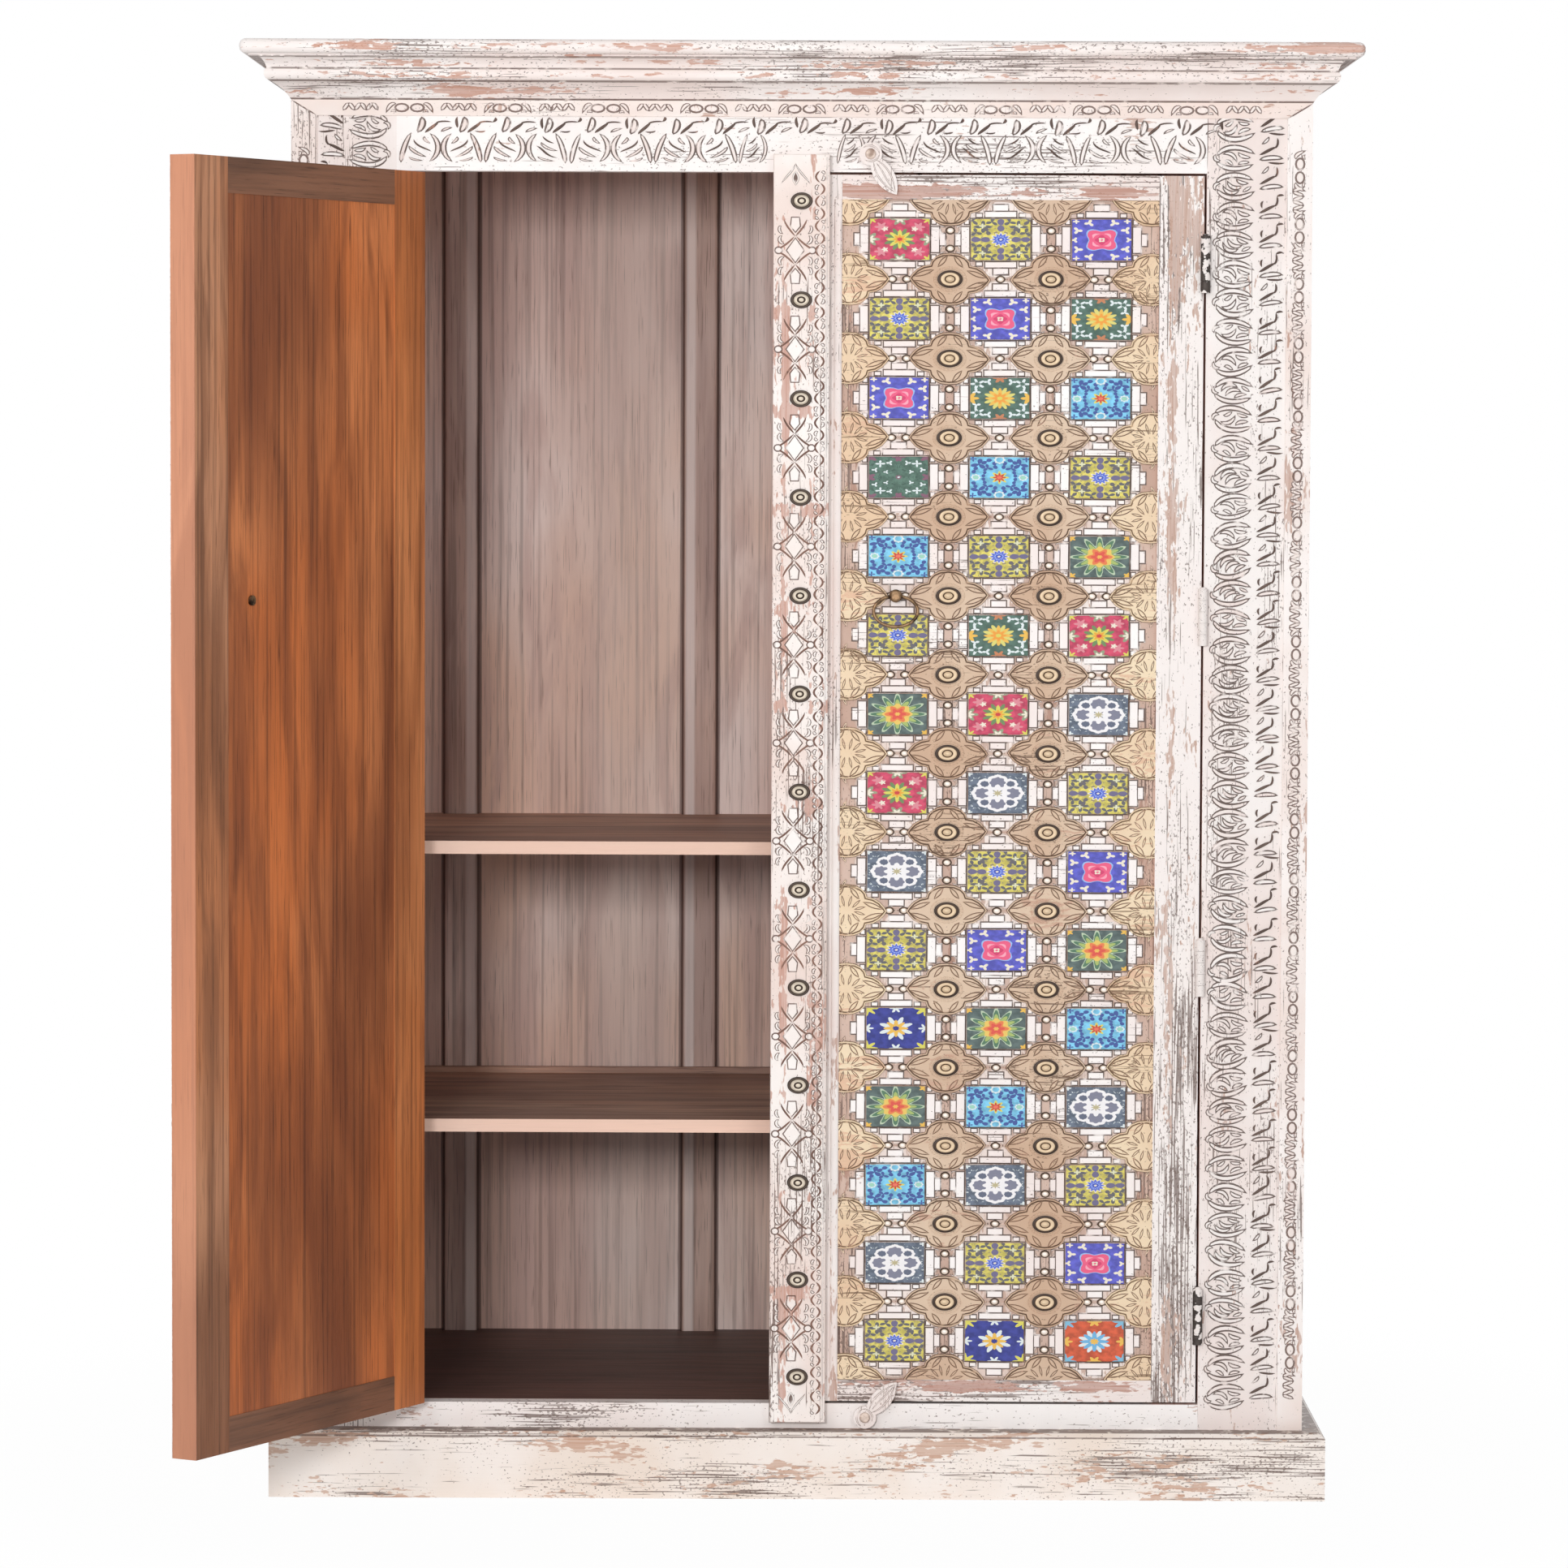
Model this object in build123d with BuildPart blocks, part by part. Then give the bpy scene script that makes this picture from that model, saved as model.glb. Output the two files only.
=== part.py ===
"""Two-door wooden cabinet with carved rosettes and glazed tiles on its doors.

Frame: X to the right, Y to the back, Z up. The origin is on the floor under the middle of the
carcass. All sizes are in millimetres. The right door is shut and the left door stands open.
"""

import os

from build123d import *

os.makedirs("parts", exist_ok=True)

# Carcass
TOTAL_HEIGHT = 1790
BODY_WIDTH = 1250
BODY_DEPTH = 640
SIDE_THICKNESS = 24
BOARD_THICKNESS = 20

# Plinth
PLINTH_HEIGHT = 84
PLINTH_OVERHANG = 27
PLINTH_THICKNESS = 40
PLINTH_CHAMFER = 7
BEARER_WIDTH = 60

# Front frame
STILE_WIDTH = 129
TOP_RAIL_HEIGHT = 86
BOTTOM_RAIL_HEIGHT = 31
FRAME_THICKNESS = 28
BORDER_SIDE_WIDTH = 31
BORDER_TOP_WIDTH = 19
BORDER_THICKNESS = 3

# Crown
TOP_PLANK_THICKNESS = 18
TOP_PLANK_OVERHANG = 59
CROWN_HEIGHT = 53
CROWN_SEAT = 30
CROWN_COVE_OUT = 24
CROWN_COVE_RISE = 22
CROWN_COVE_SAG = 3.5
CROWN_BEAD_OUT = 5
CROWN_BEAD_RISE = 15
CROWN_NECK_OUT = 28
CROWN_THROAT_OUT = 36
CROWN_FILLET_OUT = 48
CROWN_FILLET_RISE = 3
CROWN_REAR_RAIL = 22

# Shelves and back wall
SHELF_THICKNESS = 16
SHELF_SETBACK = 45
UPPER_SHELF_TOP = 808
LOWER_SHELF_TOP = 462
REAR_STRIP_HEIGHT = 8
REAR_STRIP_DEPTH = 12
BACK_BOARD_THICKNESS = 20
BATTEN_THICKNESS = 28
BATTEN_WIDTH = 48
INNER_BATTEN_X = 133
OUTER_BATTEN_X = 451
BATTEN_ROUND = 7

# Doors
DOOR_THICKNESS = 34
DOOR_GAP = 3
HINGE_STILE_WIDTH = 55
MEETING_STILE_WIDTH = 48.5
DOOR_TOP_RAIL = 30
DOOR_BOTTOM_RAIL = 27
FRONT_LAP = 12
INNER_STILE_WIDTH = 68
INNER_RAIL_HEIGHT = 42
FIELD_RECESS = 4
INNER_RECESS = 0.8
STILE_BEAD_WIDTH = 10
STILE_BEAD_HEIGHT = 3
LEFT_DOOR_OPENING = 119

# Cover strip on the right door
STRIP_WIDTH = 69
STRIP_THICKNESS = 20
STRIP_OVERLAP = 21
STRIP_CLEARANCE = 0.8
STRIP_EDGE_ROUND = 2
STRIP_BOSS_COUNT = 13
STRIP_BOSS_END = 57

# Tiles and rosettes
TILE_COLUMNS = 3
TILE_ROWS = 15
FIELD_SIDE_MARGIN = 8.5
TILE_SIDE_SPACING = 51.2
TILE_ROW_SPACING = 47
TILE_THICKNESS = 5
ROSETTE_SIDE_SPACING = 22.7
ROSETTE_ROW_SPACING = 32
ROSETTE_THICKNESS = 5
BOSS_RADIUS = 13
BOSS_RIM_HEIGHT = 2
BOSS_HEIGHT = 5

# Hinges
HINGE_COUNT = 4
HINGE_LENGTH = 70
HINGE_END_DISTANCE = 108
KNUCKLES = 5
KNUCKLE_GAP = 0.3
BARREL_RADIUS = 6
BARREL_CLEARANCE = 1
PIN_RADIUS = 2
PIN_CLEARANCE = 0.05
PIN_HEAD_RADIUS = 3.6
PIN_HEAD_HEIGHT = 2
LEAF_THICKNESS = 1.2
LEAF_WIDTH = 24

# Ring pulls
RING_HALF_WIDTH = 27
RING_HALF_HEIGHT = 19
RING_WIRE_RADIUS = 2
RING_STANDOFF = 6
PULL_OFFSET = 3
PULL_ROW = 5
STEM_RADIUS = 4.5
STEM_BORE_CLEARANCE = 0.6
STEM_FRONT = 4
PULL_HEAD_RADIUS = 8
PULL_HEAD_HEIGHT = 5
SHANK_RADIUS = 3
SHANK_CLEARANCE = 0.2
NUT_RADIUS = 6
NUT_HEIGHT = 3

# Turn buttons
BUTTON_HEAD_RADIUS = 14
BUTTON_LENGTH = 59
BUTTON_HALF_WIDTH = 12
BUTTON_NECK_HALF_WIDTH = 7
BUTTON_THICKNESS = 5
BUTTON_LIFT = 4.5
BUTTON_X = 84
TOP_BUTTON_RISE = 22
BOTTOM_BUTTON_DROP = 16
TOP_BUTTON_ANGLE = -57
BOTTOM_BUTTON_ANGLE = 48
PIVOT_RADIUS = 2.5
PIVOT_CLEARANCE = 0.05
PIVOT_COLLAR_RADIUS = 6
PIVOT_HEAD_RADIUS = 6.5
PIVOT_HEAD_HEIGHT = 3
PIVOT_END_PLAY = 0.3

# Places worked out from the sizes above
FRONT_Y = -BODY_DEPTH / 2
BACK_Y = BODY_DEPTH / 2
BODY_HALF = BODY_WIDTH / 2
BODY_TOP = TOTAL_HEIGHT - TOP_PLANK_THICKNESS - CROWN_HEIGHT
INSIDE_HALF = BODY_HALF - SIDE_THICKNESS
FRAME_BACK_Y = FRONT_Y + FRAME_THICKNESS
BATTEN_FRONT_Y = BACK_Y - BATTEN_THICKNESS
BACK_BOARD_Y = BACK_Y - BACK_BOARD_THICKNESS
OPENING_HALF = BODY_HALF - STILE_WIDTH
OPENING_BOTTOM = PLINTH_HEIGHT + BOTTOM_RAIL_HEIGHT
OPENING_TOP = BODY_TOP - TOP_RAIL_HEIGHT
FLOOR_UNDERSIDE = OPENING_BOTTOM - BOARD_THICKNESS

DOOR_INNER_X = DOOR_GAP / 2
DOOR_OUTER_X = OPENING_HALF - DOOR_GAP
DOOR_BOTTOM = OPENING_BOTTOM + DOOR_GAP
DOOR_TOP = OPENING_TOP - DOOR_GAP
DOOR_BACK_Y = FRONT_Y + DOOR_THICKNESS
FIELD_X0 = DOOR_INNER_X + MEETING_STILE_WIDTH
FIELD_X1 = DOOR_OUTER_X - HINGE_STILE_WIDTH
FIELD_Z0 = DOOR_BOTTOM + DOOR_BOTTOM_RAIL
FIELD_Z1 = DOOR_TOP - DOOR_TOP_RAIL
FIELD_CENTRE = ((FIELD_X0 + FIELD_X1) / 2, (FIELD_Z0 + FIELD_Z1) / 2)
FIELD_Y = FRONT_Y + FIELD_RECESS
COLUMN_PITCH = (FIELD_X1 - FIELD_X0 - 2 * FIELD_SIDE_MARGIN) / TILE_COLUMNS
ROW_PITCH = (FIELD_Z1 - FIELD_Z0) / TILE_ROWS
TILE_WIDTH = COLUMN_PITCH - TILE_SIDE_SPACING
TILE_HEIGHT = ROW_PITCH - TILE_ROW_SPACING
ROSETTE_WIDTH = COLUMN_PITCH - ROSETTE_SIDE_SPACING
ROSETTE_HEIGHT = ROW_PITCH - ROSETTE_ROW_SPACING

HINGE_X = OPENING_HALF - DOOR_GAP / 2
HINGE_Y = FRONT_Y - BARREL_RADIUS - BARREL_CLEARANCE
PULL_X = FIELD_CENTRE[0] - COLUMN_PITCH * (TILE_COLUMNS - 1) / 2 - PULL_OFFSET
PULL_Z = FIELD_Z1 - PULL_ROW * ROW_PITCH
RING_Y = FRONT_Y - RING_STANDOFF
TOP_BUTTON_Z = OPENING_TOP + TOP_BUTTON_RISE
BOTTOM_BUTTON_Z = OPENING_BOTTOM - BOTTOM_BUTTON_DROP


def front_plane(y: float) -> Plane:
    """Give a plane that faces the front at depth y, with its x to the right and its y up."""
    return Plane.XZ.offset(-y)


def save(part: Part, label: str) -> None:
    """Label a finished piece and write it under its name."""
    part.label = label
    export_step(part, f"parts/{label}.step")


def board(x: tuple, y: tuple, z: tuple) -> Part:
    """Make a plain board between two values on each axis."""
    with BuildPart() as piece:
        with BuildSketch(Plane.XY.offset(z[0])):
            with Locations(((x[0] + x[1]) / 2, (y[0] + y[1]) / 2)):
                Rectangle(x[1] - x[0], y[1] - y[0])
        extrude(amount=z[1] - z[0])
    return piece.part


def hang(part: Part, hand: str) -> Part:
    """Leave a piece of the shut right door where it is, or mirror it and swing it open on the left."""
    if hand == "right":
        return part
    hinge_line = Axis((-HINGE_X, HINGE_Y, 0), (0, 0, 1))
    return mirror(part, about=Plane.YZ).rotate(hinge_line, -LEFT_DOOR_OPENING)


# ------------------------------------------------------------------------------------ plinth

PLINTH_HALF = BODY_HALF + PLINTH_OVERHANG
PLINTH_FRONT_Y = FRONT_Y - PLINTH_OVERHANG
PLINTH_INNER_Y = PLINTH_FRONT_Y + PLINTH_THICKNESS
PLINTH_REAR_Y = BACK_Y - PLINTH_THICKNESS

with BuildPart() as plinth_front:
    with BuildSketch(Plane.XY):
        with Locations((0, PLINTH_FRONT_Y + PLINTH_THICKNESS / 2)):
            Rectangle(2 * PLINTH_HALF, PLINTH_THICKNESS)
    extrude(amount=PLINTH_HEIGHT)
    upper_edges = plinth_front.faces().sort_by(Axis.Z)[-1].edges()
    chamfer(upper_edges.filter_by(Axis.X).sort_by(Axis.Y)[0:1], PLINTH_CHAMFER)
    end_edges = plinth_front.faces().sort_by(Axis.Z)[-1].edges().filter_by(Axis.Y)
    chamfer(end_edges, PLINTH_CHAMFER)
save(plinth_front.part, "plinth_front")

with BuildPart() as plinth_right:
    with BuildSketch(Plane.XZ.offset(-PLINTH_INNER_Y)):
        with Locations((PLINTH_HALF - PLINTH_THICKNESS / 2, PLINTH_HEIGHT / 2)):
            Rectangle(PLINTH_THICKNESS, PLINTH_HEIGHT)
    extrude(amount=PLINTH_INNER_Y - BACK_Y)
    outer_edges = plinth_right.edges().filter_by(Axis.Y).group_by(Axis.X)[-1]
    chamfer(outer_edges.sort_by(Axis.Z)[-1], PLINTH_CHAMFER)
save(plinth_right.part, "plinth_right")
save(mirror(plinth_right.part, about=Plane.YZ), "plinth_left")

PLINTH_INSIDE = PLINTH_HALF - PLINTH_THICKNESS
plinth_back = board((-PLINTH_INSIDE, PLINTH_INSIDE), (PLINTH_REAR_Y, BACK_Y), (0, PLINTH_HEIGHT))
save(plinth_back, "plinth_back")

# The bearer runs from front to back, and its upper part behind the frame carries the floor board.
with BuildPart() as plinth_bearer:
    with BuildSketch(Plane.YZ.offset(-BEARER_WIDTH / 2)):
        with Locations(((PLINTH_INNER_Y + PLINTH_REAR_Y) / 2, PLINTH_HEIGHT / 2)):
            Rectangle(PLINTH_REAR_Y - PLINTH_INNER_Y, PLINTH_HEIGHT)
        with Locations(((FRAME_BACK_Y + PLINTH_REAR_Y) / 2, FLOOR_UNDERSIDE / 2)):
            Rectangle(PLINTH_REAR_Y - FRAME_BACK_Y, FLOOR_UNDERSIDE)
    extrude(amount=BEARER_WIDTH)
save(plinth_bearer.part, "plinth_bearer")

# ----------------------------------------------------------------------------------- carcass

side_right = board((INSIDE_HALF, BODY_HALF), (FRAME_BACK_Y, BACK_Y), (PLINTH_HEIGHT, BODY_TOP))
save(side_right, "side_right")
save(mirror(side_right, about=Plane.YZ), "side_left")

BATTEN_CENTRES = (-OUTER_BATTEN_X, -INNER_BATTEN_X, INNER_BATTEN_X, OUTER_BATTEN_X)

with BuildPart() as back_battens:
    with BuildSketch(Plane.XY.offset(PLINTH_HEIGHT)):
        with Locations(*[(x, BACK_Y - BATTEN_THICKNESS / 2) for x in BATTEN_CENTRES]):
            Rectangle(BATTEN_WIDTH, BATTEN_THICKNESS)
    extrude(amount=BODY_TOP - PLINTH_HEIGHT)
    front_corners = back_battens.edges().filter_by(Axis.Z).group_by(Axis.Y)[0]
    fillet(front_corners, BATTEN_ROUND)
save(back_battens.part, "back_battens")

with BuildPart() as back_boards:
    with BuildSketch(Plane.XY.offset(PLINTH_HEIGHT)):
        with Locations((0, BACK_Y - BACK_BOARD_THICKNESS / 2)):
            Rectangle(2 * INSIDE_HALF, BACK_BOARD_THICKNESS)
        with Locations(*[(x, BACK_Y - BACK_BOARD_THICKNESS / 2) for x in BATTEN_CENTRES]):
            Rectangle(BATTEN_WIDTH, BACK_BOARD_THICKNESS, mode=Mode.SUBTRACT)
    extrude(amount=BODY_TOP - PLINTH_HEIGHT)
save(back_boards.part, "back_boards")


def notched_board(front_y: float, underside: float, thickness: float) -> Part:
    """Make a board across the inside that reaches the back boards and is notched round the battens."""
    with BuildPart() as piece:
        with BuildSketch(Plane.XY.offset(underside)):
            with Locations((0, (front_y + BACK_BOARD_Y) / 2)):
                Rectangle(2 * INSIDE_HALF, BACK_BOARD_Y - front_y)
            with Locations(*[(x, BATTEN_FRONT_Y) for x in BATTEN_CENTRES]):
                notch_depth = 2 * (BACK_BOARD_Y - BATTEN_FRONT_Y)
                Rectangle(BATTEN_WIDTH, notch_depth, mode=Mode.SUBTRACT)
        extrude(amount=thickness)
    return piece.part


save(notched_board(FRAME_BACK_Y, FLOOR_UNDERSIDE, BOARD_THICKNESS), "bottom_board")
save(notched_board(FRAME_BACK_Y, BODY_TOP - BOARD_THICKNESS, BOARD_THICKNESS), "top_board")

SHELF_FRONT_Y = FRONT_Y + SHELF_SETBACK
save(notched_board(SHELF_FRONT_Y, UPPER_SHELF_TOP - SHELF_THICKNESS, SHELF_THICKNESS), "shelf_upper")
save(notched_board(SHELF_FRONT_Y, LOWER_SHELF_TOP - SHELF_THICKNESS, SHELF_THICKNESS), "shelf_lower")

shelf_rear_strip = board(
    (-INSIDE_HALF, INSIDE_HALF),
    (BATTEN_FRONT_Y - REAR_STRIP_DEPTH, BATTEN_FRONT_Y),
    (LOWER_SHELF_TOP, LOWER_SHELF_TOP + REAR_STRIP_HEIGHT),
)
save(shelf_rear_strip, "shelf_rear_strip")

# ------------------------------------------------------------------------------- front frame

frame_stile_right = board((OPENING_HALF, BODY_HALF), (FRONT_Y, FRAME_BACK_Y), (PLINTH_HEIGHT, BODY_TOP))
save(frame_stile_right, "frame_stile_right")
save(mirror(frame_stile_right, about=Plane.YZ), "frame_stile_left")

frame_top_rail = board((-OPENING_HALF, OPENING_HALF), (FRONT_Y, FRAME_BACK_Y), (OPENING_TOP, BODY_TOP))
save(frame_top_rail, "frame_top_rail")

frame_bottom_rail = board(
    (-OPENING_HALF, OPENING_HALF), (FRONT_Y, FRAME_BACK_Y), (PLINTH_HEIGHT, OPENING_BOTTOM)
)
save(frame_bottom_rail, "frame_bottom_rail")

# The border strips meet in mitres at the upper corners.
BORDER_INNER_X = BODY_HALF - BORDER_SIDE_WIDTH
BORDER_INNER_Z = BODY_TOP - BORDER_TOP_WIDTH

with BuildPart() as border_right:
    with BuildSketch(front_plane(FRONT_Y)):
        with BuildLine():
            Polyline(
                (BORDER_INNER_X, PLINTH_HEIGHT),
                (BODY_HALF, PLINTH_HEIGHT),
                (BODY_HALF, BODY_TOP),
                (BORDER_INNER_X, BORDER_INNER_Z),
                close=True,
            )
        make_face()
    extrude(amount=BORDER_THICKNESS)
save(border_right.part, "border_right")
save(mirror(border_right.part, about=Plane.YZ), "border_left")

with BuildPart() as border_top:
    with BuildSketch(front_plane(FRONT_Y)):
        with BuildLine():
            Polyline(
                (-BORDER_INNER_X, BORDER_INNER_Z),
                (BORDER_INNER_X, BORDER_INNER_Z),
                (BODY_HALF, BODY_TOP),
                (-BODY_HALF, BODY_TOP),
                close=True,
            )
        make_face()
    extrude(amount=BORDER_THICKNESS)
save(border_top.part, "border_top")

# ------------------------------------------------------------------------------------- crown

CROWN_REACH = BODY_HALF + TOP_PLANK_OVERHANG


def crown_section() -> Sketch:
    """Draw the crown moulding's section: x runs outward from the carcass face, y up from its top."""
    cove_top = (CROWN_COVE_OUT, CROWN_COVE_RISE)
    bead_top = (CROWN_NECK_OUT, CROWN_COVE_RISE + CROWN_BEAD_RISE)
    throat = (CROWN_THROAT_OUT, CROWN_HEIGHT - CROWN_FILLET_RISE)
    cove_middle = (
        CROWN_COVE_OUT / 2 - CROWN_COVE_SAG / 2,
        CROWN_COVE_RISE / 2 + CROWN_COVE_SAG / 2,
    )
    bead_middle = (
        (cove_top[0] + bead_top[0]) / 2 + CROWN_BEAD_OUT,
        (cove_top[1] + bead_top[1]) / 2,
    )
    throat_middle = (
        (bead_top[0] + throat[0]) / 2 - CROWN_COVE_SAG / 2,
        (bead_top[1] + throat[1]) / 2,
    )
    with BuildSketch(mode=Mode.PRIVATE) as section:
        with BuildLine():
            ThreePointArc((0, 0), cove_middle, cove_top)
            ThreePointArc(cove_top, bead_middle, bead_top)
            ThreePointArc(bead_top, throat_middle, throat)
            Polyline(
                throat,
                (CROWN_FILLET_OUT, throat[1]),
                (CROWN_FILLET_OUT, CROWN_HEIGHT),
                (-CROWN_SEAT, CROWN_HEIGHT),
                (-CROWN_SEAT, 0),
                (0, 0),
            )
        make_face()
    return section.sketch


MITRE_RIGHT = Plane((BODY_HALF, FRONT_Y, 0), x_dir=(0, 0, 1), z_dir=(1, 1, 0))
MITRE_LEFT = Plane((-BODY_HALF, FRONT_Y, 0), x_dir=(0, 0, 1), z_dir=(-1, 1, 0))

with BuildPart() as crown_front:
    with BuildSketch(Plane((0, FRONT_Y, BODY_TOP), x_dir=(0, -1, 0), z_dir=(-1, 0, 0))):
        add(crown_section())
    extrude(amount=CROWN_REACH, both=True)
    split(bisect_by=MITRE_RIGHT, keep=Keep.BOTTOM)
    split(bisect_by=MITRE_LEFT, keep=Keep.BOTTOM)
save(crown_front.part, "crown_front")

with BuildPart() as crown_right:
    with BuildSketch(Plane((BODY_HALF, BACK_Y, BODY_TOP), x_dir=(1, 0, 0), z_dir=(0, -1, 0))):
        add(crown_section())
    extrude(amount=BODY_DEPTH + TOP_PLANK_OVERHANG)
    split(bisect_by=MITRE_RIGHT, keep=Keep.TOP)
save(crown_right.part, "crown_right")
save(mirror(crown_right.part, about=Plane.YZ), "crown_left")

crown_back = board(
    (-BODY_HALF + CROWN_SEAT, BODY_HALF - CROWN_SEAT),
    (BACK_Y - CROWN_REAR_RAIL, BACK_Y),
    (BODY_TOP, BODY_TOP + CROWN_HEIGHT),
)
save(crown_back, "crown_back")

with BuildPart() as top_plank:
    with BuildSketch(Plane.XY.offset(BODY_TOP + CROWN_HEIGHT)):
        with Locations((0, -TOP_PLANK_OVERHANG / 2)):
            Rectangle(2 * CROWN_REACH, BODY_DEPTH + TOP_PLANK_OVERHANG)
    extrude(amount=TOP_PLANK_THICKNESS)
    upright_corners = top_plank.edges().filter_by(Axis.Z).group_by(Axis.Y)[0]
    fillet(upright_corners, TOP_PLANK_THICKNESS / 2)
    rear_edges = top_plank.faces().sort_by(Axis.Y)[-1].edges()
    lip_edges = [
        edge
        for face in (top_plank.faces().sort_by(Axis.Z)[0], top_plank.faces().sort_by(Axis.Z)[-1])
        for edge in face.edges()
        if edge not in rear_edges
    ]
    fillet(lip_edges, TOP_PLANK_THICKNESS * 0.45)
save(top_plank.part, "top_plank")

# ------------------------------------------------------------------------------------- doors


def stile(front_x: tuple, back_x: tuple) -> Part:
    """Make an upright whose front part and back part have their own widths, as a rebated stile has."""
    with BuildPart() as piece:
        with BuildSketch(Plane.XY.offset(DOOR_BOTTOM)):
            with Locations(((front_x[0] + front_x[1]) / 2, FRONT_Y + FRONT_LAP / 2)):
                Rectangle(front_x[1] - front_x[0], FRONT_LAP)
            with Locations(((back_x[0] + back_x[1]) / 2, (FRONT_Y + FRONT_LAP + DOOR_BACK_Y) / 2)):
                Rectangle(back_x[1] - back_x[0], DOOR_THICKNESS - FRONT_LAP)
        extrude(amount=DOOR_TOP - DOOR_BOTTOM)
    return piece.part


INNER_X0 = DOOR_INNER_X + INNER_STILE_WIDTH
INNER_X1 = DOOR_OUTER_X - INNER_STILE_WIDTH
INNER_Z0 = DOOR_BOTTOM + INNER_RAIL_HEIGHT
INNER_Z1 = DOOR_TOP - INNER_RAIL_HEIGHT


def meeting_stile() -> Part:
    """Make the stile beside the meeting line, with a bead along its panel edge."""
    with BuildPart() as piece:
        add(stile((DOOR_INNER_X, FIELD_X0), (DOOR_INNER_X, INNER_X0)))
        with BuildSketch(Plane.XY.offset(FIELD_Z0)):
            with Locations((FIELD_X0 - STILE_BEAD_WIDTH / 2, FRONT_Y)):
                Ellipse(STILE_BEAD_WIDTH / 2, STILE_BEAD_HEIGHT)
        extrude(amount=FIELD_Z1 - FIELD_Z0)
    return piece.part


def rail(front_z: tuple, back_z: tuple) -> Part:
    """Make a door rail between the stiles, rebated as they are."""
    with BuildPart() as piece:
        with BuildSketch(front_plane(FRONT_Y + FRONT_LAP)):
            with Locations((FIELD_CENTRE[0], (front_z[0] + front_z[1]) / 2)):
                Rectangle(FIELD_X1 - FIELD_X0, front_z[1] - front_z[0])
        extrude(amount=FRONT_LAP)
        with BuildSketch(front_plane(DOOR_BACK_Y)):
            with Locations(((INNER_X0 + INNER_X1) / 2, (back_z[0] + back_z[1]) / 2)):
                Rectangle(INNER_X1 - INNER_X0, back_z[1] - back_z[0])
        extrude(amount=DOOR_THICKNESS - FRONT_LAP)
    return piece.part


def door_panel() -> Part:
    """Make the panel: a wide front field, a narrower inner face, and a hole for the pull's shank."""
    with BuildPart() as piece:
        with BuildSketch(front_plane(FRONT_Y + FRONT_LAP)):
            with Locations(FIELD_CENTRE):
                Rectangle(FIELD_X1 - FIELD_X0, FIELD_Z1 - FIELD_Z0)
        extrude(amount=FRONT_LAP - FIELD_RECESS)
        with BuildSketch(front_plane(DOOR_BACK_Y - INNER_RECESS)):
            with Locations(((INNER_X0 + INNER_X1) / 2, (INNER_Z0 + INNER_Z1) / 2)):
                Rectangle(INNER_X1 - INNER_X0, INNER_Z1 - INNER_Z0)
        extrude(amount=DOOR_THICKNESS - INNER_RECESS - FRONT_LAP)
        with BuildSketch(front_plane(DOOR_BACK_Y)):
            with Locations((PULL_X, PULL_Z)):
                Circle(SHANK_RADIUS + SHANK_CLEARANCE)
        extrude(amount=DOOR_THICKNESS, mode=Mode.SUBTRACT)
    return piece.part


def tile_places() -> GridLocations:
    """Give the grid of tile centres about the middle of the field."""
    return GridLocations(COLUMN_PITCH, ROW_PITCH, TILE_COLUMNS, TILE_ROWS)


def door_tiles() -> Part:
    """Make the glazed tiles, seated on the field."""
    with BuildPart() as piece:
        with BuildSketch(front_plane(FIELD_Y)):
            with Locations(FIELD_CENTRE):
                with tile_places():
                    Rectangle(TILE_WIDTH, TILE_HEIGHT)
        extrude(amount=TILE_THICKNESS)
    return piece.part


def rosette_outline() -> Sketch:
    """Draw one rosette: four pointed petals whose sides bulge and meet in notches."""
    half_width = ROSETTE_WIDTH / 2
    half_height = ROSETTE_HEIGHT / 2
    notch = (0.40 * half_width, 0.46 * half_height)
    side_bulge = (0.73 * half_width, 0.38 * half_height)
    top_bulge = (0.32 * half_width, 0.74 * half_height)
    with BuildSketch(mode=Mode.PRIVATE) as outline:
        with BuildLine():
            ThreePointArc((half_width, 0), side_bulge, notch)
            ThreePointArc(notch, top_bulge, (0, half_height))
            Line((0, half_height), (0, 0))
            Line((0, 0), (half_width, 0))
        make_face()
        mirror(about=Plane.XZ)
        mirror(about=Plane.YZ)
    return outline.sketch


def door_rosettes() -> Part:
    """Make the rosettes between the tiles, cut off where they run past the field."""
    outline = rosette_outline()
    with BuildPart() as piece:
        with BuildSketch(front_plane(FIELD_Y)):
            with Locations(FIELD_CENTRE):
                with GridLocations(COLUMN_PITCH, ROW_PITCH, TILE_COLUMNS + 1, TILE_ROWS + 1):
                    add(outline)
                Rectangle(FIELD_X1 - FIELD_X0, FIELD_Z1 - FIELD_Z0, mode=Mode.INTERSECT)
        extrude(amount=ROSETTE_THICKNESS)
    return piece.part


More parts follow.
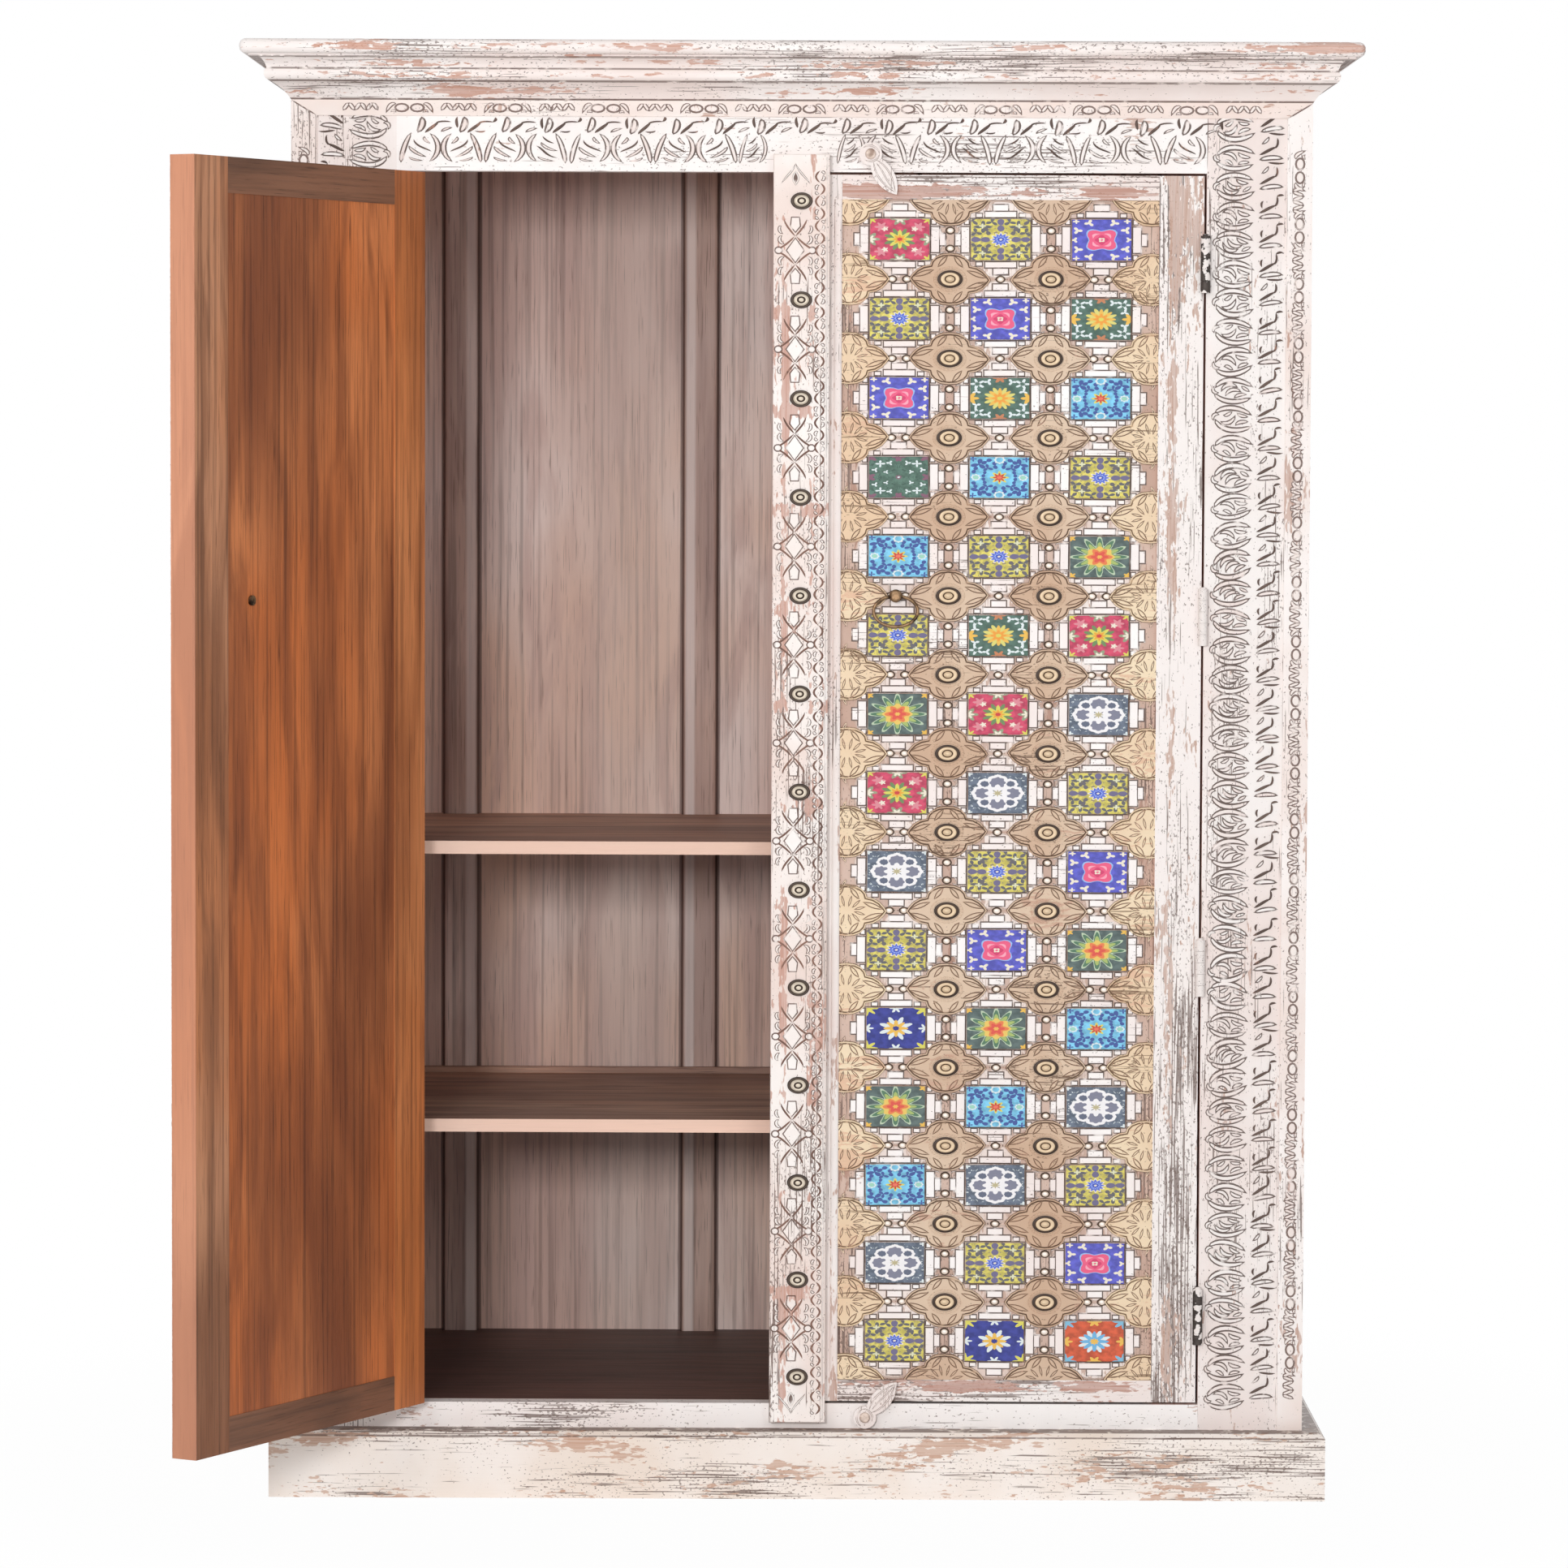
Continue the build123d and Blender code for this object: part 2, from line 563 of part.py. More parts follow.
def domed_boss() -> Part:
    """Turn one boss: a rim, a groove and a dome with a small nipple. Its back is at y = 0."""
    groove_radius = 0.72 * BOSS_RADIUS
    nipple_radius = 0.28 * BOSS_RADIUS
    with BuildPart() as piece:
        with BuildSketch(Plane.XY):
            with BuildLine():
                Polyline((0, -BOSS_HEIGHT), (0, 0), (BOSS_RADIUS, 0))
                ThreePointArc(
                    (BOSS_RADIUS, 0),
                    ((BOSS_RADIUS + groove_radius) / 2, -BOSS_RIM_HEIGHT),
                    (groove_radius, -BOSS_RIM_HEIGHT / 2),
                )
                ThreePointArc(
                    (groove_radius, -BOSS_RIM_HEIGHT / 2),
                    (0.55 * BOSS_RADIUS, -0.75 * BOSS_HEIGHT),
                    (nipple_radius, -0.7 * BOSS_HEIGHT),
                )
                Polyline(
                    (nipple_radius, -0.7 * BOSS_HEIGHT),
                    (0.6 * nipple_radius, -BOSS_HEIGHT),
                    (0, -BOSS_HEIGHT),
                )
            make_face()
        revolve(axis=Axis.Y)
    return piece.part


def door_bosses() -> Part:
    """Seat a boss on each whole rosette."""
    boss = domed_boss()
    seat_y = FIELD_Y - ROSETTE_THICKNESS
    with BuildPart() as piece:
        for column in range(TILE_COLUMNS - 1):
            for row in range(TILE_ROWS - 1):
                x = FIELD_CENTRE[0] + (column - (TILE_COLUMNS - 2) / 2) * COLUMN_PITCH
                z = FIELD_CENTRE[1] + (row - (TILE_ROWS - 2) / 2) * ROW_PITCH
                with Locations((x, seat_y, z)):
                    add(boss)
    return piece.part


def pull_bead() -> Part:
    """Turn the pull's bolt: head, stem with a cross bore for the ring, shank and nut."""
    stem_front_y = RING_Y - STEM_FRONT
    with BuildPart() as piece:
        with BuildSketch(front_plane(FIELD_Y)):
            with Locations((PULL_X, PULL_Z)):
                Circle(STEM_RADIUS)
        extrude(amount=FIELD_Y - stem_front_y)
        with BuildSketch(front_plane(stem_front_y)):
            with Locations((PULL_X, PULL_Z)):
                Circle(PULL_HEAD_RADIUS)
        extrude(amount=PULL_HEAD_HEIGHT)
        head_edges = piece.edges().filter_by(GeomType.CIRCLE).group_by(Axis.Y)[0]
        fillet(head_edges, PULL_HEAD_HEIGHT * 0.8)
        with BuildSketch(front_plane(DOOR_BACK_Y)):
            with Locations((PULL_X, PULL_Z)):
                Circle(SHANK_RADIUS)
        extrude(amount=DOOR_BACK_Y - FIELD_Y)
        with BuildSketch(front_plane(DOOR_BACK_Y - INNER_RECESS + NUT_HEIGHT)):
            with Locations((PULL_X, PULL_Z)):
                Circle(NUT_RADIUS)
        extrude(amount=NUT_HEIGHT)
        with BuildSketch(Plane.YZ.offset(PULL_X - STEM_RADIUS)):
            with Locations((RING_Y, PULL_Z)):
                Circle(RING_WIRE_RADIUS + STEM_BORE_CLEARANCE)
        extrude(amount=2 * STEM_RADIUS, mode=Mode.SUBTRACT)
    return piece.part


def pull_ring() -> Part:
    """Bend the oval ring, whose top wire lies in the stem's bore."""
    ring_centre = (PULL_X, PULL_Z - RING_HALF_HEIGHT)
    with BuildPart() as piece:
        with BuildLine(front_plane(RING_Y)) as path:
            EllipticalCenterArc(ring_centre, RING_HALF_WIDTH, RING_HALF_HEIGHT, 0, arc_size=360)
        with BuildSketch(path.line ^ 0):
            Circle(RING_WIRE_RADIUS)
        sweep(path=path.line)
    return piece.part


# The hinges stand one above another, and all of them share the door's one axis.
FIRST_HINGE_Z = DOOR_BOTTOM + HINGE_END_DISTANCE
LAST_HINGE_Z = DOOR_TOP - HINGE_END_DISTANCE
HINGE_PITCH = (LAST_HINGE_Z - FIRST_HINGE_Z) / (HINGE_COUNT - 1)
HINGE_CENTRES = [FIRST_HINGE_Z + index * HINGE_PITCH for index in range(HINGE_COUNT)]
KNUCKLE_PITCH = HINGE_LENGTH / KNUCKLES


def hinge_leaves(leaf_x: float, first_knuckle: int) -> Part:
    """Make one side's leaves, each with every second knuckle from first_knuckle on its barrel."""
    with BuildPart() as piece:
        for centre in HINGE_CENTRES:
            base = centre - HINGE_LENGTH / 2
            with BuildSketch(Plane.XY.offset(base)):
                with Locations((leaf_x + LEAF_THICKNESS / 2, FRONT_Y + LEAF_WIDTH / 2)):
                    Rectangle(LEAF_THICKNESS, LEAF_WIDTH)
            extrude(amount=HINGE_LENGTH)
            for knuckle in range(first_knuckle, KNUCKLES, 2):
                knuckle_base = base + knuckle * KNUCKLE_PITCH + KNUCKLE_GAP / 2
                with BuildSketch(Plane.XY.offset(knuckle_base)):
                    with Locations((HINGE_X, HINGE_Y)):
                        Circle(BARREL_RADIUS)
                    with Locations((leaf_x + LEAF_THICKNESS / 2, (HINGE_Y + FRONT_Y) / 2)):
                        Rectangle(LEAF_THICKNESS, FRONT_Y - HINGE_Y)
                extrude(amount=KNUCKLE_PITCH - KNUCKLE_GAP)
        with BuildSketch(Plane.XY.offset(DOOR_BOTTOM)):
            with Locations((HINGE_X, HINGE_Y)):
                Circle(PIN_RADIUS + PIN_CLEARANCE)
        extrude(amount=DOOR_TOP - DOOR_BOTTOM, mode=Mode.SUBTRACT)
    return piece.part


def hinge_pins() -> Part:
    """Make the pins, whose heads rest on the upper knuckles."""
    with BuildPart() as piece:
        for centre in HINGE_CENTRES:
            head_seat = centre + HINGE_LENGTH / 2 - KNUCKLE_GAP / 2
            pin_base = centre - HINGE_LENGTH / 2
            with BuildSketch(Plane.XY.offset(pin_base)):
                with Locations((HINGE_X, HINGE_Y)):
                    Circle(PIN_RADIUS)
            extrude(amount=head_seat - pin_base)
            with BuildSketch(Plane.XY.offset(head_seat)):
                with Locations((HINGE_X, HINGE_Y)):
                    Circle(PIN_HEAD_RADIUS)
            extrude(amount=PIN_HEAD_HEIGHT)
    return piece.part


DOOR_PIECES = {
    "hinge_stile": stile((FIELD_X1, DOOR_OUTER_X), (INNER_X1, DOOR_OUTER_X)),
    "meeting_stile": meeting_stile(),
    "top_rail": rail((FIELD_Z1, DOOR_TOP), (INNER_Z1, DOOR_TOP)),
    "bottom_rail": rail((DOOR_BOTTOM, FIELD_Z0), (DOOR_BOTTOM, INNER_Z0)),
    "panel": door_panel(),
    "tiles": door_tiles(),
    "rosettes": door_rosettes(),
    "rosette_bosses": door_bosses(),
    "pull_bead": pull_bead(),
    "pull_ring": pull_ring(),
    "hinge_leaves": hinge_leaves(DOOR_OUTER_X, 1),
}

for hand in ("left", "right"):
    for name, piece in DOOR_PIECES.items():
        save(hang(piece, hand), f"{hand}_door_{name}")

frame_leaves = hinge_leaves(OPENING_HALF - LEAF_THICKNESS, 0)
save(frame_leaves, "frame_hinge_leaves_right")
save(mirror(frame_leaves, about=Plane.YZ), "frame_hinge_leaves_left")
pins = hinge_pins()
save(pins, "hinge_pins_right")
save(mirror(pins, about=Plane.YZ), "hinge_pins_left")

# ------------------------------------------------------------------------------- cover strip

STRIP_BOTTOM = OPENING_BOTTOM - STRIP_OVERLAP
STRIP_TOP = OPENING_TOP + STRIP_OVERLAP
STRIP_FRONT_Y = FRONT_Y - STRIP_THICKNESS

# The strip is fixed to the right door's stile and stands clear of the left door and the rails.
with BuildPart() as cover_strip:
    with BuildSketch(front_plane(FRONT_Y - STRIP_CLEARANCE)):
        with Locations((0, (STRIP_BOTTOM + STRIP_TOP) / 2)):
            Rectangle(STRIP_WIDTH, STRIP_TOP - STRIP_BOTTOM)
    extrude(amount=STRIP_THICKNESS - STRIP_CLEARANCE)
    fillet(cover_strip.faces().sort_by(Axis.Y)[0].edges(), STRIP_EDGE_ROUND)
    with BuildSketch(front_plane(FRONT_Y)):
        with Locations(((DOOR_INNER_X + STRIP_WIDTH / 2) / 2, (DOOR_BOTTOM + DOOR_TOP) / 2)):
            Rectangle(STRIP_WIDTH / 2 - DOOR_INNER_X, DOOR_TOP - DOOR_BOTTOM)
    extrude(amount=STRIP_CLEARANCE)
save(cover_strip.part, "right_door_cover_strip")

STRIP_BOSS_PITCH = (STRIP_TOP - STRIP_BOTTOM - 2 * STRIP_BOSS_END) / (STRIP_BOSS_COUNT - 1)

with BuildPart() as strip_bosses:
    strip_boss = domed_boss()
    for index in range(STRIP_BOSS_COUNT):
        with Locations((0, STRIP_FRONT_Y, STRIP_BOTTOM + STRIP_BOSS_END + index * STRIP_BOSS_PITCH)):
            add(strip_boss)
save(strip_bosses.part, "right_door_strip_bosses")

# ------------------------------------------------------------------------------ turn buttons


def turn_button(pivot_z: float, angle: float) -> Part:
    """Cut one turn button: a round head on its pivot and a leaf that narrows to a point."""
    pointing = Vector(1, 0, 0).rotate(Axis.Y, -angle)
    lie = Plane((BUTTON_X, FRONT_Y - BUTTON_LIFT, pivot_z), x_dir=pointing, z_dir=(0, -1, 0))
    leaf_start = 0.75 * BUTTON_HEAD_RADIUS
    leaf_middle = (BUTTON_LENGTH + leaf_start) / 2.2
    with BuildPart() as piece:
        with BuildSketch(lie):
            Circle(BUTTON_HEAD_RADIUS)
            with BuildLine():
                Line((leaf_start, 0), (leaf_start, BUTTON_NECK_HALF_WIDTH))
                ThreePointArc(
                    (leaf_start, BUTTON_NECK_HALF_WIDTH),
                    (leaf_middle, BUTTON_HALF_WIDTH),
                    (BUTTON_LENGTH, 0),
                )
                Line((BUTTON_LENGTH, 0), (leaf_start, 0))
            make_face()
            mirror(about=Plane.XZ)
            Circle(PIVOT_RADIUS + PIVOT_CLEARANCE, mode=Mode.SUBTRACT)
        extrude(amount=BUTTON_THICKNESS)
    return piece.part


save(turn_button(TOP_BUTTON_Z, TOP_BUTTON_ANGLE), "top_turn_button")
save(turn_button(BOTTOM_BUTTON_Z, BOTTOM_BUTTON_ANGLE), "bottom_turn_button")

with BuildPart() as button_pivots:
    collar_front_y = FRONT_Y - BUTTON_LIFT + PIVOT_END_PLAY
    head_seat_y = FRONT_Y - BUTTON_LIFT - BUTTON_THICKNESS - PIVOT_END_PLAY
    pivot_places = [(BUTTON_X, TOP_BUTTON_Z), (BUTTON_X, BOTTOM_BUTTON_Z)]
    with BuildSketch(front_plane(FRONT_Y)):
        with Locations(*pivot_places):
            Circle(PIVOT_COLLAR_RADIUS)
    extrude(amount=FRONT_Y - collar_front_y)
    with BuildSketch(front_plane(collar_front_y)):
        with Locations(*pivot_places):
            Circle(PIVOT_RADIUS)
    extrude(amount=collar_front_y - head_seat_y)
    with BuildSketch(front_plane(head_seat_y)):
        with Locations(*pivot_places):
            Circle(PIVOT_HEAD_RADIUS)
    extrude(amount=PIVOT_HEAD_HEIGHT)
    head_rims = button_pivots.edges().filter_by(GeomType.CIRCLE).group_by(Axis.Y)[0]
    fillet(head_rims, PIVOT_HEAD_HEIGHT * 0.7)
save(button_pivots.part, "button_pivots")
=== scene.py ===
"""Looks for a two-door carved cabinet with glazed tiles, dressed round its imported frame.

The frame gives every solid in metres: X to the right, Y to the back, Z up, and the floor at Z = 0.
Carved shapes are drawn flat in millimetres and raised towards +Z, then stood up against a front.
The fronts of both doors are drawn on the shut right door, and the left door gets a mirrored copy.
"""

import logging
import math
import random
from dataclasses import dataclass, field, replace
from enum import Enum
from functools import cache
from typing import Sequence

import bmesh
import bpy
from mathutils import Matrix, Vector

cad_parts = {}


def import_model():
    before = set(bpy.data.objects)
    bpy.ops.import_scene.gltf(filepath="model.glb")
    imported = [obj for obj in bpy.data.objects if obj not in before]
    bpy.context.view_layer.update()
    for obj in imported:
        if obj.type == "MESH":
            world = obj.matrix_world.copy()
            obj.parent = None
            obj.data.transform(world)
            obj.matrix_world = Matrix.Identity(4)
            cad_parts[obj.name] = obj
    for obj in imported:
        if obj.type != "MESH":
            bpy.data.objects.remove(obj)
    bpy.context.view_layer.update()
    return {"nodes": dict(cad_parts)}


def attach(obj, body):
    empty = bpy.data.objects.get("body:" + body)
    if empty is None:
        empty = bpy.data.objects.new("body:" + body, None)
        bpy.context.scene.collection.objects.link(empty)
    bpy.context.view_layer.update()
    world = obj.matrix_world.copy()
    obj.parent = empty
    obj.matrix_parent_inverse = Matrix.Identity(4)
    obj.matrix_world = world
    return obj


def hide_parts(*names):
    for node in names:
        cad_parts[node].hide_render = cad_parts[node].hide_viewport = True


LOG = logging.getLogger("cabinet")

Point = tuple[float, float]
Socket = bpy.types.NodeSocket
Outputs = bpy.types.bpy_prop_collection
Shade = tuple[float, float, float]  # red, green and blue, each from 0 to 255

MILLIMETRE = 0.001
STAND_UP = Matrix.Rotation(math.radians(90), 4, "X") @ Matrix.Scale(MILLIMETRE, 4)

# Depths of the faces that carry carving, and of the step in the back wall, in millimetres.
FRAME_FRONT = -320.0
BORDER_FRONT = -323.0
FIELD_FRONT = -316.0
STRIP_FRONT = -340.0
BACK_SPLIT = 306.0

# How far carved shapes reach into their ground, and the angle from which an edge stays sharp.
SINK = 0.3
SHARP_ANGLE = math.radians(40)

# The hinge line of the open left door, and how a front drawn on the right door comes to hang on it.
HINGE_X = 494.5
HINGE_Y = -327.0
LEFT_OPENING = math.radians(-119)
HANG_LEFT = (
    Matrix.Translation((-HINGE_X * MILLIMETRE, HINGE_Y * MILLIMETRE, 0))
    @ Matrix.Rotation(LEFT_OPENING, 4, "Z")
    @ Matrix.Translation((HINGE_X * MILLIMETRE, -HINGE_Y * MILLIMETRE, 0))
    @ Matrix.Diagonal((-1, 1, 1, 1))
)

# The tiled field of a door.
COLUMN_PITCH = 371.0 / 3
ROW_PITCH = 97.0
COLUMNS = 3
ROWS = 15
FIELD_X = (50.0, 438.0)
FIELD_Z = (145.0, 1600.0)
FIELD_CENTRE = (244.0, 872.5)


class Hand(Enum):
    """Which door a piece belongs to."""

    LEFT = "left"
    RIGHT = "right"


class Grain(Enum):
    """The axis that the grain of a board follows."""

    ALONG_X = "XYZ"
    ALONG_Y = "YXZ"
    ALONG_Z = "ZXY"


def shade(colour: Shade) -> tuple[float, ...]:
    """Turn a colour into the linear value that a colour socket takes.

    Args:
        colour: Red, green and blue, each from 0 to 255.

    Returns:
        The linear red, green and blue, and an alpha of 1.
    """
    parts = [value / 255 for value in colour]
    return (*(part / 12.92 if part <= 0.04045 else ((part + 0.055) / 1.055) ** 2.4 for part in parts), 1.0)


# ---------------------------------------------------------------------------------- shader nodes


class Graph:
    """Adds nodes to one node tree and links them."""

    def __init__(self, tree: bpy.types.NodeTree) -> None:
        """Keep the tree that nodes are added to."""
        self.tree = tree

    def add(self, kind: str, feeds: dict | None = None, **settings: object) -> bpy.types.Node:
        """Add one node.

        Args:
            kind: The node's type name.
            feeds: A value or a socket for each input, by its name or index.
            settings: Values for the node's own properties.

        Returns:
            The new node.
        """
        node = self.tree.nodes.new(kind)
        for name, value in settings.items():
            setattr(node, name, value)
        for name, value in (feeds or {}).items():
            self.feed(node.inputs[name], value)
        return node

    def feed(self, socket: Socket, value: object) -> None:
        """Link a socket to an input, or set the input's own value.

        Args:
            socket: The input.
            value: A socket, a number, a vector, or a colour of 0 to 255 per channel.
        """
        if isinstance(value, bpy.types.NodeSocket):
            self.tree.links.new(value, socket)
        elif isinstance(value, tuple) and len(value) == 3 and socket.type == "RGBA":
            socket.default_value = shade(value)
        else:
            socket.default_value = value

    def math(self, operation: str, first: object, second: object = 0.0, clamp: bool = False) -> Socket:
        """Give the result of a Math node."""
        feeds = {0: first, 1: second}
        return self.add("ShaderNodeMath", feeds, operation=operation, use_clamp=clamp).outputs[0]

    def plus(self, first: object, second: object) -> Socket:
        """Give a sum."""
        return self.math("ADD", first, second)

    def minus(self, first: object, second: object) -> Socket:
        """Give a difference."""
        return self.math("SUBTRACT", first, second)

    def times(self, first: object, second: object) -> Socket:
        """Give a product."""
        return self.math("MULTIPLY", first, second)

    def vector(self, operation: str, *values: object) -> Socket:
        """Give the result of a Vector Math node."""
        return self.add("ShaderNodeVectorMath", dict(enumerate(values)), operation=operation).outputs[0]

    def mix(self, factor: object, first: object, second: object) -> Socket:
        """Give a mix of two colours."""
        feeds = {0: factor, 6: first, 7: second}
        return self.add("ShaderNodeMix", feeds, data_type="RGBA").outputs[2]

    def step(self, value: object, low: float, high: float) -> Socket:
        """Give 0 below low and 1 above high, with a smooth rise between them."""
        feeds = {"Value": value, "From Min": low, "From Max": high}
        return self.add("ShaderNodeMapRange", feeds, interpolation_type="SMOOTHSTEP").outputs[0]

    def fall(self, value: object, low: float, high: float) -> Socket:
        """Give 1 below low and 0 above high, with a smooth fall between them."""
        return self.minus(1.0, self.step(value, low, high))

    def noise(self, place: Socket, scale: float, detail: float, distortion: float = 0) -> Socket:
        """Give the value of a Noise Texture."""
        feeds = {"Vector": place, "Scale": scale, "Detail": detail, "Distortion": distortion}
        return self.add("ShaderNodeTexNoise", feeds).outputs[0]

    def streaks(self, place: Socket, scale: tuple[float, float, float], detail: float) -> Socket:
        """Give noise drawn out along the first axis, where its scale is the smallest."""
        return self.noise(self.vector("MULTIPLY", place, scale), 1.0, detail)

    def split(self, place: Socket) -> Outputs:
        """Give the three parts of a vector."""
        return self.add("ShaderNodeSeparateXYZ", {0: place}).outputs

    def group(self, tree: bpy.types.NodeTree, feeds: dict[str, object]) -> Outputs:
        """Add a node group and give its outputs."""
        return self.add("ShaderNodeGroup", feeds, node_tree=tree).outputs


SURFACE_OUTPUTS = {"Color": "NodeSocketColor", "Roughness": "NodeSocketFloat", "Height": "NodeSocketFloat"}


def new_group(name: str, inputs: dict[str, object], outputs: dict[str, str]) -> tuple[Graph, object, object]:
    """Start a shader node group.

    Args:
        name: The group's name.
        inputs: A default value for each input, by name. None makes a vector input.
        outputs: The socket type of each output, by name.

    Returns:
        The group's graph, the outputs of its input node, and the inputs of its output node.
    """
    tree = bpy.data.node_groups.new(name, "ShaderNodeTree")
    for label, value in inputs.items():
        kinds = {tuple: "NodeSocketColor", type(None): "NodeSocketVector"}
        kind = kinds.get(type(value), "NodeSocketFloat")
        socket = tree.interface.new_socket(label, in_out="INPUT", socket_type=kind)
        if value is not None:
            socket.default_value = shade(value) if isinstance(value, tuple) else value
    for label, kind in outputs.items():
        tree.interface.new_socket(label, in_out="OUTPUT", socket_type=kind)
    graph = Graph(tree)
    return graph, graph.add("NodeGroupInput").outputs, graph.add("NodeGroupOutput").inputs


@cache
def worn_and_shaded_paint_group() -> bpy.types.NodeTree:
    """Build the group for brushed paint that is rubbed through along the grain.

    Returns:
        The group. Its vector has the grain along X. Patch is a mask of worn bands, and the other mask input
        marks painted shade, where the colour goes towards Line.
    """
    white, brown = (244, 238, 234), (150, 110, 95)
    graph, given, result = new_group(
        "worn and shaded paint",
        {"Vector": None, "Paint": white, "Tint": white, "Bare": brown, "Line": brown, "Wear": 0.5,
         "Dryness": 0.5, "Groove": 0.0, "Patch": 0.0},
        SURFACE_OUTPUTS,
    )
    place = given["Vector"]
    cloud = graph.noise(place, 5.5, 4)
    tone = graph.mix(graph.step(cloud, 0.36, 0.66), given["Paint"], given["Tint"])

    area = graph.streaks(place, (4, 18, 18), 4)
    thin = graph.streaks(place, (11, 480, 480), 2)
    busy = graph.times(graph.minus(area, 0.5), 0.7)
    busy = graph.plus(busy, graph.times(given["Dryness"], 0.12))
    streak = graph.step(graph.plus(thin, busy), 0.7, 0.76)
    toned = graph.mix(graph.times(streak, 0.8), tone, given["Line"])

    speck_field = graph.streaks(place, (240, 430, 430), 2)
    speck_sum = graph.plus(speck_field, graph.times(busy, 0.6))
    speck = graph.times(graph.step(speck_sum, 0.68, 0.72), 0.7)
    specked = graph.mix(speck, toned, given["Line"])

    patch_field = graph.streaks(place, (6, 26, 26), 6)
    ragged = graph.streaks(place, (70, 260, 260), 3)
    worn_sum = graph.plus(patch_field, graph.times(graph.minus(ragged, 0.5), 0.5))
    worn_sum = graph.plus(worn_sum, graph.times(given["Wear"], 0.16))
    worn_sum = graph.plus(worn_sum, graph.times(given["Patch"], 0.3))
    worn = graph.step(worn_sum, 0.69, 0.73)
    bare = graph.mix(graph.times(graph.step(thin, 0.36, 0.6), 0.35), given["Bare"], given["Tint"])
    coloured = graph.mix(graph.times(worn, 0.85), specked, bare)

    # Painted shade: where the shade mask is set, the colour goes dark towards Line, broken up a little by
    # noise.
    shade_breakup = graph.noise(place, 75, 3)
    depth = graph.times(given["Groove"], graph.step(shade_breakup, 0.26, 0.48))
    final = graph.mix(graph.times(depth, 0.92), coloured, given["Line"])

    graph.feed(result["Color"], final)
    rough = graph.plus(0.52, graph.times(worn, 0.2))
    graph.feed(result["Roughness"], graph.plus(rough, graph.times(thin, 0.12)))
    height = graph.minus(graph.times(thin, 0.5), graph.times(worn, 0.6))
    graph.feed(result["Height"], graph.minus(height, graph.times(streak, 0.3)))
    return graph.tree


@cache
def plank_group() -> bpy.types.NodeTree:
    """Build the group for waxed hardwood with long figure, pores and a few knots.

    Returns:
        The group. Its vector has the grain along X.
    """
    light, dark = (180, 120, 75), (90, 55, 35)
    graph, given, result = new_group(
        "waxed plank",
        {"Vector": None, "Light": light, "Warm": light, "Dark": dark, "Deep": dark, "Figure": 1.0,
         "Knots": 0.5},
        SURFACE_OUTPUTS,
    )
    place = given["Vector"]
    sway = graph.streaks(place, (1.0, 3.0, 3.0), 2)
    sideways = {1: graph.times(sway, 0.16), 2: graph.times(sway, 0.35)}
    bent = graph.vector("ADD", place, graph.add("ShaderNodeCombineXYZ", sideways).outputs[0])
    cloud = graph.streaks(place, (1.1, 4.5, 4.5), 4)
    figure = graph.streaks(bent, (1.2, 30, 30), 5)
    silk = graph.streaks(place, (2.2, 150, 150), 3)
    pores = graph.streaks(place, (16, 620, 620), 2)
    warmth = graph.streaks(place, (1.7, 3.1, 3.1), 3)

    ground = graph.mix(graph.times(graph.step(warmth, 0.4, 0.62), 0.8), given["Light"], given["Warm"])
    deeper = graph.times(graph.step(cloud, 0.4, 0.66), given["Figure"])
    base = graph.mix(graph.times(deeper, 0.8), ground, given["Dark"])
    lit_and_shaded_boards = graph.mix(graph.times(graph.step(figure, 0.42, 0.66), 0.66), base, given["Dark"])
    silked = graph.mix(graph.times(graph.step(silk, 0.46, 0.7), 0.42), lit_and_shaded_boards, given["Deep"])
    pored = graph.mix(graph.times(graph.step(pores, 0.6, 0.7), 0.5), silked, given["Deep"])

    cells = {"Vector": graph.vector("MULTIPLY", bent, (2.6, 6.0, 6.0)), "Scale": 1.0}
    cell = graph.add("ShaderNodeTexVoronoi", cells).outputs["Distance"]
    knot = graph.fall(cell, 0.02, 0.1)
    knot_eye = graph.fall(cell, 0.02, 0.045)
    haloed = graph.mix(graph.times(knot, graph.times(given["Knots"], 0.6)), pored, given["Dark"])
    knotted = graph.mix(graph.times(knot_eye, given["Knots"]), haloed, given["Deep"])

    graph.feed(result["Color"], knotted)
    graph.feed(result["Roughness"], graph.plus(0.38, graph.times(pores, 0.3)))
    graph.feed(result["Height"], graph.minus(graph.times(silk, 0.5), pores))
    return graph.tree


@cache
def blossom_group() -> bpy.types.NodeTree:
    """Build the group for one painted blossom, repeated in all four quarters of a tile.

    Returns:
        The group. Its vector runs from -1 to 1 over the tile.
    """
    graph, given, result = new_group(
        "painted blossom",
        {"Vector": None, "Across": 0.0, "Up": 0.0, "Petals": 8.0, "Radius": 0.4, "Notch": 0.4,
         "Turn": 0.0, "Hole": 0.0},
        {"Mask": "NodeSocketFloat"},
    )
    parts = graph.split(given["Vector"])
    across = graph.minus(graph.math("ABSOLUTE", parts[0]), given["Across"])
    up = graph.minus(graph.math("ABSOLUTE", parts[1]), given["Up"])
    squares = graph.plus(graph.times(across, across), graph.times(up, up))
    reach = graph.math("SQRT", squares)
    angle = graph.math("ARCTAN2", up, across)
    turned = graph.plus(graph.times(angle, given["Petals"]), given["Turn"])
    wave = graph.times(graph.minus(1.0, graph.math("COSINE", turned)), 0.5)
    edge = graph.minus(1.0, graph.times(wave, given["Notch"]))
    edge = graph.times(edge, given["Radius"])
    inside = graph.step(graph.minus(edge, reach), -0.012, 0.014)
    hollow = graph.step(graph.minus(reach, given["Hole"]), -0.012, 0.012)
    graph.feed(result["Mask"], graph.times(inside, hollow))
    return graph.tree


@dataclass(frozen=True)
class Stripe:
    """A straight band of a face, across one axis, in millimetres."""

    axis: str
    middle: float
    half_width: float
    strength: float


